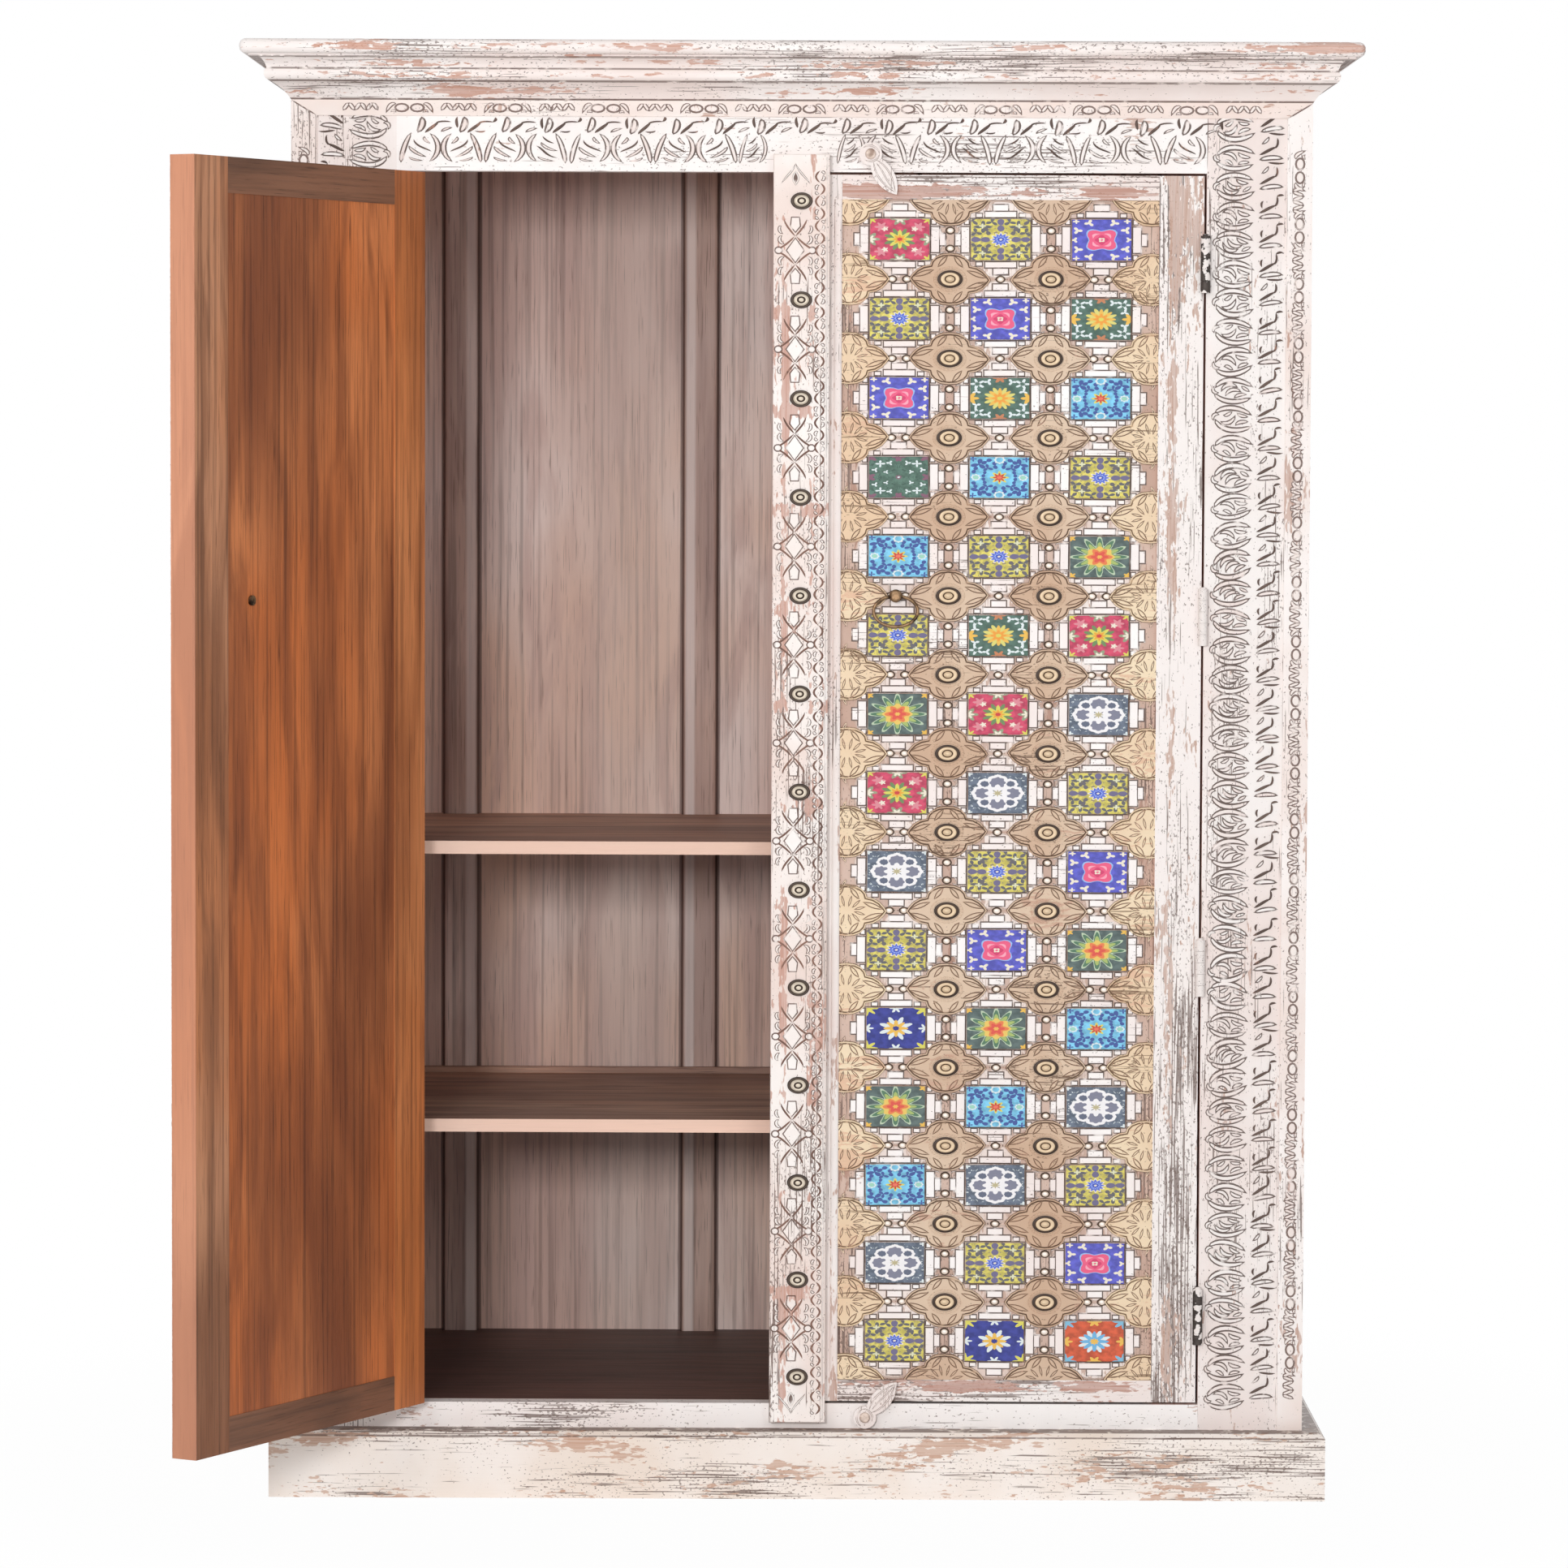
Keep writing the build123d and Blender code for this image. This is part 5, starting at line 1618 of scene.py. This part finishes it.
        # Both paints go dark at the foot of the carving as painted shade, and the dark finish paints the shade
        # in the cuts.
        common = {"grain": Grain.ALONG_X, "relief_lines": (0.1, 3.0)}
        tan = self.paint("rosette_tan", paint=(222, 198, 174), tint=(206, 174, 148), bare=(206, 168, 148),
                         line=(104, 80, 64), wear=0.3, dryness=0.2, **common)
        golden = self.paint("rosette_gold", paint=(242, 222, 191), tint=(230, 200, 168), bare=(228, 188, 160),
                            line=(126, 100, 76), wear=0.4, dryness=0.4, **common)
        shade_finish = self.paint("rosette_shade", None, paint=(112, 86, 68), tint=(132, 102, 82))
        self.hang(piece, [tan, shade_finish, golden], "carved_wood", "rosettes")

    def bosses(self) -> None:
        """Seat an oval boss on each whole rosette."""
        profile = ((13.4, 2.6), (13.2, 4.2), (12.2, 4.6), (10.6, 4.8), (9.8, 6.2), (8.6, 6.8), (7.0, 6.7),
                   (5.8, 5.8), (5.2, 5.4), (4.4, 6.2), (3.2, 7.4), (1.6, 8.2), (0.0, 8.5))
        # Painted shade: the boss's outer wall and inner groove take the dark finish.
        shaded_rings = ((10.0, 13.6), (4.6, 6.0))
        shape = motif("rosette_boss", [Turned(profile, squeeze=(1.18, 0.82), sides=32, dark_rings=shaded_rings)])
        piece = Carving(f"{self.prefix}_brass_bosses")
        for column, row, x, z in knot_centres():
            if 0 < column < COLUMNS and 0 < row < ROWS:
                piece.stamp(shape, spot(x, FIELD_FRONT, z))
        finish = self.metal("boss", (220, 196, 164), (138, 108, 80), (3.6, 5.6))
        dark = self.metal("boss_shade", (84, 62, 46), (50, 36, 28), (4.4, 5.4))
        self.hang(piece, [finish, dark], "antique_brass", "rosette_bosses", smooth=True)

    def studs(self) -> None:
        """Set the small ring studs between the tiles, with a curl on each side."""
        profile = ((6.2, -0.3), (5.9, 1.6), (5.0, 2.4), (3.9, 2.2), (3.3, 1.4), (2.2, 2.2), (0.0, 2.6))
        stud = motif("ring_stud", [Turned(profile, squeeze=(1.0, 0.78), sides=14, dark_rings=((3.9, 6.3),))])
        curl = motif("stud_curl", [
            Blade((-12, 4), (-14, -2), (-8, -4), (-7, 0), 1.8, 1.5, 6),
            Blade((-15, 7), (-12, 8), (-9, 7), (-8, 5), 1.7, 1.4, 5),
        ])
        piece = Carving(f"{self.prefix}_ring_studs")
        for row, column, x, z in cell_centres():
            if column < COLUMNS - 1:
                middle = x + COLUMN_PITCH / 2
                for side in (-1, 1):
                    piece.stamp(stud, spot(middle, FIELD_FRONT, z + side * 11))
                    for other in (-1, 1):
                        piece.stamp(curl, spot(middle, FIELD_FRONT, z + side * 9, 0, other * 0.9, side), 2)
            if row < ROWS - 1:
                for offset in (0.0,) if column == 1 else (-9.0, 9.0):
                    piece.stamp(stud, spot(x + offset, FIELD_FRONT, z - ROW_PITCH / 2))
        # Painted shade: the studs' low places go darker, and their rings take the dark finish.
        finish = self.metal("stud", (248, 240, 232), (200, 180, 160), (1.2, 2.0))
        dark = self.metal("stud_shade", (96, 76, 60), (58, 44, 36), (1.6, 2.4))
        white = self.paint("curl_paint", wear=-0.2, relief_lines=(0.1, 1.1))
        self.hang(piece, [finish, dark, white], "white_painted_wood", smooth=True)

    def sprigs(self) -> None:
        """Carve leaf sprigs beside the half rosettes along the field's sides."""
        sprig = motif("leaf_sprig", [
            Blade((0, 18), (8, 22), (18, 20), (26, 12), 2.6, 2.4, 7),
            Blade((0, 24), (10, 30), (20, 27), (24, 20), 2.2, 2.0, 7),
            *(Plate(outline, ((0.8, 2.2), (0.9, 0), (0.5, -0.9)))
              for outline in (lens(22, 6.5, (13, 33), 30), lens(16, 5.5, (6, 40), 62))),
        ])
        piece = Carving(f"{self.prefix}_leaf_sprigs")
        for row in range(ROWS - 1):
            z = FIELD_CENTRE[1] + (row - (ROWS - 2) / 2) * ROW_PITCH
            for tall in (-0.82, 0.82):
                piece.stamp(sprig, spot(FIELD_X[0] + 1, FIELD_FRONT, z, 0, 0.72, tall))
                piece.stamp(sprig, spot(FIELD_X[1] - 1, FIELD_FRONT, z, 0, -0.72, tall))
        finish = self.paint("sprig_paint", paint=(238, 216, 190), tint=(232, 206, 190), line=(104, 80, 64),
                            wear=0.0, dryness=-0.2, relief_lines=(0.1, 1.7))
        self.hang(piece, [finish], "carved_wood")

    def build(self, glazes: dict[str, bpy.types.Material]) -> None:
        """Build and dress the whole front."""
        self.tiles(glazes)
        self.arches()
        self.surrounds()
        self.rosettes()
        self.bosses()
        self.studs()
        self.sprigs()


@dataclass
class StripCarving:
    """The trellis, the vine and the bosses of the cover strip."""

    low: float = 94.0
    high: float = 1654.0
    first_boss: float = 151.0
    bosses: int = 13
    pitch: float = 120.5
    trellis_x: float = -7.5
    vine_x: float = 22.5
    vine_length: float = 30.0
    line_x: float = 31.0

    def rubs(self, strength: float) -> tuple[Stripe, ...]:
        """Give the worn band that lies under each boss."""
        lowest = self.first_boss - 16
        return tuple(Stripe("Z", lowest + number * self.pitch, 9, strength) for number in range(self.bosses))

    def trellis_shape(self) -> bpy.types.Mesh:
        """Carve what lies between two bosses: a diamond, its crossing bars and side blossoms."""
        blossom_steps = ((0.01, 0.3), (1.3, 0.1), (0.6, 1.3))
        leaf = ((0, 21), (7, 29), (5.5, 41), (-5.5, 41), (-7, 29))
        strokes: list[Stroke] = [
            Plate(((0, 16), (12, 0), (0, -16), (-12, 0)), ((0.01, 0.3), (1.4, 0.1), (0.6, 1.4))),
            *repeated((
                Blade((1, 17), (8, 10), (14, 4), (24, 0.5), 2.4, 0.9, 6, 0.3, True),
                Blade((0, 17), (6, 24), (12, 30), (14, 38), 2.4, 0.9, 6, 0.3, True),
                Blade((13, 8), (20, 8), (22, 16), (16, 18), 5.0, 1.9, 6),
                Blade((15, 20), (21, 22), (21, 29), (17, 30), 4.6, 1.7, 6),
            ), FOUR_WAYS),
        ]
        for side in (-1, 1):
            strokes.append(Plate(oval(11, 10, 10, (side * 20.5, 0)), blossom_steps))
            strokes.append(Plate(tuple((x, side * y) for x, y in leaf), blossom_steps))
        return motif("strip_trellis", strokes)

    def vine_shape(self) -> bpy.types.Mesh:
        """Carve one length of the thin vine: a wavy stem with small leaves."""
        stem = (
            Blade((0, -15), (7, -9), (7, -6), (0, 0), 2.6, 1.0, 6, 0.3, True),
            Blade((0, 0), (-7, 6), (-7, 9), (0, 15), 2.6, 1.0, 6, 0.3, True),
        )
        leaves = (
            Blade((1, 3), (5, 3), (6, 7), (3, 9), 4.8, 1.7, 5),
            Blade((4, 10), (6, 12), (4, 14), (1, 13), 4.4, 1.6, 5),
        )
        return motif("strip_vine", [*stem, *repeated(leaves, CROSSWISE)])

    def build(self) -> None:
        """Build and dress the strip's carving and bosses."""
        trellis, vine = self.trellis_shape(), self.vine_shape()
        piece = Carving("cover_strip_carving")
        for number in range(self.bosses - 1):
            z = self.first_boss + (number + 0.5) * self.pitch
            piece.stamp(trellis, spot(self.trellis_x, STRIP_FRONT, z))
        end = motif("strip_end", [
            *repeated([Blade((20, -14), (12, -2), (4, 2), (0, 14), 3.0, 1.9, 6)]),
            Plate(lens(20, 10, (0, -6), 90), ((0.8, 1.7), (1.0, 0), (0.5, -0.8))),
        ])
        for z, tall in ((self.high - 24, 0.9), (self.low + 24, -0.9)):
            piece.stamp(end, spot(self.trellis_x, STRIP_FRONT, z, 0, 0.9, tall))
        for number in range(int((self.high - self.low - 20) / self.vine_length)):
            z = self.low + 25 + number * self.vine_length
            piece.stamp(vine, spot(self.vine_x, STRIP_FRONT, z))
        line = motif("strip_line", [Plate(rectangle(1.6, self.high - self.low - 8), ((0.4, 1.2),), True)])
        piece.stamp(line, spot(self.line_x, STRIP_FRONT, (self.high + self.low) / 2))
        # The paint goes dark at the foot of the carving as painted shade, and the dark finish paints the shade
        # in the dark strokes.
        finish = PaintFinish("strip_carving_paint", paint=(254, 250, 247), tint=(246, 234, 228),
                             bare=(206, 154, 136), line=(96, 70, 60), wear=0.1, dryness=-0.2,
                             relief_front=STRIP_FRONT, relief_lines=(0.1, 1.2),
                             stripes=self.rubs(0.3)).material()
        shade_finish = PaintFinish("strip_carving_shade", paint=(110, 82, 72), tint=(146, 112, 98), wear=0.0).material()
        piece.finish([finish, shade_finish], "right_door", "white_painted_wood")

        profile = ((11.4, -0.3), (11.2, 1.6), (10.2, 2.9), (9.0, 2.9), (8.2, 1.9), (7.4, 2.6),
                   (6.0, 3.6), (4.6, 3.4), (3.6, 2.6), (2.6, 3.8), (0.0, 4.4))
        # Painted shade: each boss's outer wall and inner groove take the dark finish.
        shaded_rings = ((8.3, 11.6), (3.0, 4.4))
        boss = motif("strip_boss", [Turned(profile, squeeze=(1.18, 0.92), sides=28, dark_rings=shaded_rings)])
        studs = Carving("cover_strip_bosses")
        for number in range(self.bosses):
            studs.stamp(boss, spot(0, STRIP_FRONT, self.first_boss + number * self.pitch))
        metal = BossFinish("strip_boss_finish", STRIP_FRONT, (216, 204, 186), (120, 100, 84), (1.6, 2.8))
        dark = BossFinish("strip_boss_shade", STRIP_FRONT, (74, 60, 50), (44, 35, 30), (2.0, 3.0))
        studs.finish([metal.material(), dark.material()], "right_door", "antique_brass",
                     stands_for=["right_door_strip_bosses"], smooth=True)


@dataclass
class Buttons:
    """The leaf carving on the two turn buttons."""

    x: float = 84.0
    front: float = -329.5

    def build(self) -> None:
        """Carve each button's leaf, and let it turn with its body."""
        leaf = motif("button_leaf", [
            Blade((10, -2), (22, -9), (38, -9), (56, 0), 2.2, 1.2, 8),
            Blade((10, 2), (22, 9), (38, 9), (56, 0), 2.2, 1.2, 8),
            Blade((13, 0), (26, 2), (40, -2), (52, 0), 2.0, 1.2, 8),
            Blade((-11, -4), (-13, 6), (-2, 13), (6, 9), 2.4, 1.2, 8),
            Blade((6, 9), (12, 4), (10, -6), (2, -10), 2.2, 1.2, 8),
        ])
        # The paint goes dark at the foot of the leaf carving as painted shade.
        finish = PaintFinish("button_carving_paint", wear=-0.3, dryness=-0.3, relief_front=self.front,
                             relief_lines=(0.05, 0.8), line=(128, 108, 98)).material()
        for body, z, turn in (("top_button", 1655.0, -57.0), ("bottom_button", 99.0, 48.0)):
            piece = Carving(f"{body}_leaf")
            piece.stamp(leaf, spot(self.x, self.front, z, turn))
            piece.finish([finish], body, "white_painted_wood")


# ------------------------------------------------------------------------- finishes of the frame


Finish = PaintFinish | WoodFinish | PartPaintedFinish | TwoFacedFinish | MetalFinish


@dataclass
class NodeFinishes:
    """The finishes of the carried-over nodes."""

    nodes: dict[str, bpy.types.Object]
    batten_middles: tuple[float, ...] = (133.0, 451.0)
    batten_half: float = 24.0
    left_shift: float = 2.6

    def give(self, finish: Finish, *names: str) -> None:
        """Put one finish on each of the named nodes."""
        material = finish.material()
        for name in names:
            slots = self.nodes[name].data.materials
            slots.clear()
            slots.append(material)
            LOG.info("%s: %s", name, material.name)

    def boards(self) -> WoodFinish:
        """Finish the bare boards of the carcass.

        Returns:
            The plain wood of the inside, for the backs of painted boards.
        """
        # Painted shade along both edges of each batten.
        batten_edge_shade = tuple(
            Stripe("X", side * (middle + half), 3.0, 0.85)
            for side in (-1, 1)
            for middle in self.batten_middles
            for half in (-self.batten_half, self.batten_half)
        )
        # Painted highlights along the battens' rounded edges.
        glints = tuple(Stripe("X", edge, 6.5, 0.6) for edge in (-438.0, -146.0, 146.0, 438.0))
        # Painted sheen: a lighter band down the back boards on each side of the middle.
        painted_sheen = tuple(Stripe("X", middle, 60, 0.26) for middle in (-220, 220))
        plain = WoodFinish("inside_boards", Grain.ALONG_Z, (252, 230, 222), (240, 196, 170), (206, 170, 160),
                           (112, 82, 74), 0.9, 1.0, glint=(255, 234, 222))
        battens = WoodFinish("inside_battens", Grain.ALONG_Z, (246, 220, 210), (216, 176, 156),
                             (166, 134, 126), (84, 62, 56), 0.9, 0.1, 3.1, lights=glints, seams=batten_edge_shade,
                             glint=(255, 238, 232))
        # The shelves' front edges get a painted highlight.
        shelves = WoodFinish("shelf_boards", Grain.ALONG_X, (222, 180, 156), (180, 132, 108), (118, 88, 78),
                             (62, 44, 38), 0.8, 0.2, 1.7, lights=(Stripe("Y", -275.0, 1.0, 0.8),))
        floor = WoodFinish("floor_board", Grain.ALONG_X, (112, 78, 68), (98, 62, 52), (72, 46, 42),
                           (38, 26, 24), 0.9, 0.2, 5.2)
        raw = WoodFinish("raw_back", Grain.ALONG_Z, (188, 140, 104), (176, 122, 84), (138, 96, 70),
                         (80, 52, 38), 0.9, 0.4, 6.1)
        raw_rail = replace(raw, name="raw_rail", grain=Grain.ALONG_X, figure=1.0, knots=0.6, shift=0.0)
        self.give(raw_rail, "crown_back", "plinth_back", "plinth_bearer")
        self.give(replace(raw, name="top_boards", grain=Grain.ALONG_X, shift=2.2), "top_board")
        self.give(floor, "bottom_board")
        self.give(shelves, "shelf_upper", "shelf_lower", "shelf_rear_strip")
        # The back boards' inner faces get the painted sheen and the painted shade beside the battens.
        lit_and_shaded_boards = replace(plain, lights=painted_sheen, seams=batten_edge_shade)
        self.give(TwoFacedFinish("back_board_faces", lit_and_shaded_boards, raw, BACK_SPLIT), "back_boards")
        self.give(TwoFacedFinish("back_batten_faces", battens, raw, BACK_SPLIT), "back_battens")
        return plain

    def painted(self, plain: WoodFinish) -> None:
        """Finish the painted boards of the carcass.

        Args:
            plain: The wood on their inner faces.
        """
        # Painted shade: dark lines at the steps and seams of the cornice and plinth mouldings.
        cornice_shade_lines = (Stripe("Z", 1720, 1.5, 0.9), Stripe("Z", 1741, 1.2, 0.8), Stripe("Z", 1756, 1.2, 0.8),
                         Stripe("Z", 1769.5, 1.0, 0.7))
        plinth_shade_lines = (Stripe("Z", 84, 1.6, 0.9), Stripe("Z", 77, 1.0, 0.8))
        crown_bands = tuple(Stripe("Z", height, 4.5, 0.4) for height in (1731, 1748.5, 1762.5, 1781))
        self.give(PaintFinish("crown_paint", Grain.ALONG_X, (252, 246, 243), (246, 233, 228), (200, 144, 120),
                              wear=0.35, dryness=0.62, stripes=crown_bands, seams=cornice_shade_lines, shift=0.4),
                  "crown_front", "top_plank")
        self.give(PaintFinish("crown_side_paint", Grain.ALONG_Y, wear=0.5, dryness=0.5, seams=cornice_shade_lines,
                              shift=1.4), "crown_left", "crown_right")
        self.give(PaintFinish("plinth_paint", Grain.ALONG_X, (250, 242, 236), (242, 228, 216), (196, 150, 124),
                              wear=0.7, dryness=0.7, seams=plinth_shade_lines, shift=2.3), "plinth_front")
        self.give(PaintFinish("plinth_side_paint", Grain.ALONG_Y, wear=0.5, dryness=0.5, seams=plinth_shade_lines,
                              shift=3.3), "plinth_left", "plinth_right")
        self.give(PaintFinish("border_paint", Grain.ALONG_Z, (250, 243, 240), (240, 224, 217), wear=0.45,
                              dryness=0.4, shift=2.7), "border_left", "border_right")
        self.give(PaintFinish("border_top_paint", Grain.ALONG_X, (245, 236, 231), (238, 220, 212), wear=0.4,
                              dryness=0.2, shift=3.7), "border_top")
        side = PaintFinish("side_paint", Grain.ALONG_Z, wear=0.35, dryness=0.6, shift=4.7)
        stile = PaintFinish("frame_stile_paint", Grain.ALONG_Z, wear=0.0, dryness=0.25, shift=0.9)
        rail = PaintFinish("frame_rail_paint", Grain.ALONG_X, (252, 248, 246), (246, 236, 232), wear=0.2,
                           dryness=0.3, shift=1.9)
        outside, front = Where("X", 614, True, True), Where("Y", -293.5)
        self.give(PartPaintedFinish("side_boards", side, plain, outside), "side_left", "side_right")
        self.give(PartPaintedFinish("frame_stiles", stile, plain, front),
                  "frame_stile_left", "frame_stile_right")
        self.give(PartPaintedFinish("frame_rails", rail, plain, front), "frame_top_rail", "frame_bottom_rail")

    def fittings(self) -> None:
        """Finish the turn buttons, the hinges, the pulls and the cover strip."""
        self.give(PaintFinish("button_paint", Grain.ALONG_Z, wear=0.1, dryness=0.3, line=(150, 128, 120)),
                  "top_turn_button", "bottom_turn_button")
        self.give(MetalFinish("pivot_brass", (222, 204, 192), (156, 132, 118), 0.5, 0.3), "button_pivots")
        self.give(MetalFinish("hinge_iron", (78, 70, 66), (34, 28, 26), 0.5, 0.6, (0.42, 1.32)),
                  "frame_hinge_leaves_left", "frame_hinge_leaves_right", "hinge_pins_left", "hinge_pins_right",
                  "left_door_hinge_leaves", "right_door_hinge_leaves")
        self.give(MetalFinish("pull_brass", (140, 112, 84), (46, 34, 26), 0.36),
                  "left_door_pull_ring", "right_door_pull_ring", "left_door_pull_bead", "right_door_pull_bead")
        rubs = (Stripe("X", -19, 5, 0.45), Stripe("X", 14, 4, 0.3), *StripCarving().rubs(0.35))
        self.give(PaintFinish("strip_paint", Grain.ALONG_Z, (252, 246, 242), (240, 222, 214), (198, 146, 128),
                              (104, 78, 68), 0.3, 0.7, stripes=rubs), "right_door_cover_strip")

    def door(self, hand: Hand) -> None:
        """Finish the boards of one door, which are painted in front and waxed behind.

        Args:
            hand: The door.
        """
        start = f"{hand.value}_door"
        shift = 0.0 if hand is Hand.RIGHT else self.left_shift

        def board(part: str, paint: PaintFinish, wood: WoodFinish, edge: float, *names: str) -> None:
            """Give some boards a paint in front of an edge and a wood behind it."""
            paint = replace(paint, hand=hand, shift=shift + paint.shift)
            wood = replace(wood, hand=hand, shift=shift + wood.shift)
            finish = PartPaintedFinish(f"{start}_{part}_finish", paint, wood, Where("Y", edge))
            self.give(finish, *(f"{start}_{name}" for name in names))

        board("stile",
              PaintFinish("stile_paint", Grain.ALONG_Z, tint=(246, 238, 235), bare=(186, 146, 126), wear=0.45,
                          dryness=1.0, stripes=(Stripe("X", 456, 6, 0.35),)),
              WoodFinish("hinge_wood", Grain.ALONG_Z, (236, 152, 96), (222, 128, 66), (160, 94, 56),
                         (72, 38, 24), 1.0, 0.5, 7),
              -319.2, "hinge_stile")
        # The meeting stile's free edge is made lighter: a painted highlight.
        board("meeting",
              PaintFinish("meeting_paint", Grain.ALONG_Z, wear=0.3, dryness=0.1,
                          stripes=(Stripe("X", 45, 5, 0.3),), shift=1),
              WoodFinish("edge_wood", Grain.ALONG_Z, (208, 150, 114), (196, 122, 76), (124, 78, 52),
                         (64, 38, 26), 1.1, 0.5, 5, lights=(Stripe("X", 1.5, 1.0, 0.6),),
                         glint=(214, 148, 119)),
              -319.2, "meeting_stile")
        board("rail",
              PaintFinish("rail_paint", Grain.ALONG_X, bare=(178, 124, 104), wear=0.5, dryness=0.7, shift=2,
                          stripes=(Stripe("Z", 1610, 7, 0.5), Stripe("Z", 137, 8, 0.5))),
              WoodFinish("rail_wood", Grain.ALONG_X, (142, 98, 74), (130, 82, 56), (92, 62, 46),
                         (48, 32, 24), 0.9, 0.4, 6),
              -319.2, "top_rail", "bottom_rail")
        board("panel",
              PaintFinish("field_paint", Grain.ALONG_Z, (216, 190, 176), (198, 166, 150), (178, 138, 122),
                          wear=0.45, dryness=0.8, shift=3),
              WoodFinish("inner_wood", Grain.ALONG_Z, (228, 142, 88), (208, 112, 54), (128, 70, 42),
                         (44, 22, 16), 1.15, 1.0),
              -302.0, "panel")

    def build(self) -> None:
        """Finish every node that no piece stands for."""
        self.painted(self.boards())
        self.fittings()
        for hand in Hand:
            self.door(hand)


# ------------------------------------------------------------------------------ light and camera


def shows_background(graph: Graph) -> Socket:
    """Give 1 for rays that show the background, straight, mirrored or through glass."""
    path = graph.add("ShaderNodeLightPath").outputs
    seen = graph.plus(path["Is Camera Ray"], path["Is Glossy Ray"])
    return graph.math("ADD", seen, path["Is Transmission Ray"], clamp=True)


@dataclass(frozen=True)
class Lamp:
    """A soft square lamp: its place and its side in metres, and its power in watts."""

    name: str
    place: tuple[float, float, float]
    side: float
    power: float


@dataclass
class Studio:
    """The pale floor, the white surroundings, the lamps and the camera."""

    eye: tuple[float, float, float] = (-0.00135, -7.6573, 1.2904)
    pitch: float = 3.180
    yaw: float = 0.137
    roll: float = 0.222
    lens: float = 137.06
    fill: float = 0.42
    floor_reach: float = 30.0
    floor_glow: float = 0.97
    floor_shadow: Point = (0.8, 1.5)
    target: tuple[float, float, float] = (0, 0, 0.9)
    lamps: tuple[Lamp, ...] = (
        Lamp("key", (-2.6, -4.4, 3.6), 1.6, 40),
        Lamp("front_left", (-1.15, -7.2, 1.85), 0.84, 165),
        Lamp("front_right", (2.5, -6.4, 2.5), 1.6, 40),
        Lamp("rear", (0.6, 5.0, 3.0), 2.4, 90),
    )

    def surroundings(self) -> None:
        """Set the world, which looks white and gives a plain fill light."""
        world = bpy.data.worlds.new("studio")
        world.use_nodes = True
        bpy.context.scene.world = world
        graph = Graph(world.node_tree)
        background = world.node_tree.nodes["Background"]
        background.inputs["Color"].default_value = (1, 1, 1, 1)
        seen = graph.times(shows_background(graph), 1 - self.fill)
        graph.feed(background.inputs["Strength"], graph.plus(seen, self.fill))

    def floor(self) -> None:
        """Lay the pale floor, which keeps the cabinet's shadow near it."""
        sheet = bmesh.new()
        bmesh.ops.create_grid(sheet, x_segments=1, y_segments=1, size=self.floor_reach)
        mesh = as_mesh(sheet, "studio_floor")
        surface = start_material("studio_floor")
        graph, shader = surface.graph, surface.shader
        shader.inputs["Base Color"].default_value = (0.93, 0.93, 0.93, 1)
        shader.inputs["Roughness"].default_value = 0.9
        shader.inputs["Specular IOR Level"].default_value = 0.0
        glow = graph.add("ShaderNodeEmission", {"Strength": 1.0}).outputs[0]
        away = graph.add("ShaderNodeVectorMath", {0: surface.place}, operation="LENGTH").outputs["Value"]
        far = graph.times(graph.step(away, *self.floor_shadow), 1 - self.floor_glow)
        share = graph.plus(self.floor_glow, far)
        factor = graph.times(shows_background(graph), share)
        mixed = graph.add("ShaderNodeMixShader", {0: factor, 1: shader.outputs[0], 2: glow})
        output = surface.material.node_tree.nodes["Material Output"]
        graph.feed(output.inputs["Surface"], mixed.outputs[0])
        mesh.materials.append(surface.material)
        add_object("studio_floor", mesh)

    def hang_lamp(self, lamp: Lamp) -> None:
        """Hang one lamp, and point it at the cabinet."""
        light = bpy.data.lights.new(lamp.name, "AREA")
        light.size = lamp.side
        light.energy = lamp.power
        holder = add_object(lamp.name, light)
        holder.location = lamp.place
        aim = Vector(self.target) - Vector(lamp.place)
        holder.rotation_euler = aim.to_track_quat("-Z", "Y").to_euler()

    def camera(self) -> None:
        """Set the camera, which looks slightly down at the front."""
        pitch, yaw, roll = (math.radians(value) for value in (self.pitch, self.yaw, self.roll))
        right = Vector((math.cos(yaw), math.sin(yaw), 0))
        ahead = Vector((-math.sin(yaw), math.cos(yaw), 0)) * math.cos(pitch) - Vector((0, 0, math.sin(pitch)))
        up = right.cross(ahead)
        across = right * math.cos(roll) + up * math.sin(roll)
        upright = up * math.cos(roll) - right * math.sin(roll)
        data = bpy.data.cameras.new("camera")
        data.lens = self.lens
        data.sensor_width = 36
        data.clip_end = 100
        holder = add_object("camera", data)
        axes = Matrix((across, upright, -ahead)).transposed().to_4x4()
        holder.matrix_world = Matrix.Translation(self.eye) @ axes
        bpy.context.scene.camera = holder

    def build(self) -> None:
        """Set up the whole studio."""
        bpy.context.scene.view_settings.view_transform = "Standard"
        self.surroundings()
        self.floor()
        for lamp in self.lamps:
            self.hang_lamp(lamp)
        self.camera()


def main() -> None:
    """Build the studio, dress the frame and add the carved pieces."""
    logging.basicConfig(level=logging.INFO, format="%(name)s: %(message)s")
    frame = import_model()
    Studio().build()
    NodeFinishes(frame["nodes"]).build()
    glazes = {key: finish.material() for key, finish in TILE_FINISHES.items()}
    FrameCarving().build()
    for hand in Hand:
        DoorFront(hand).build(glazes)
    StripCarving().build()
    Buttons().build()


if __name__ == "__main__":
    main()
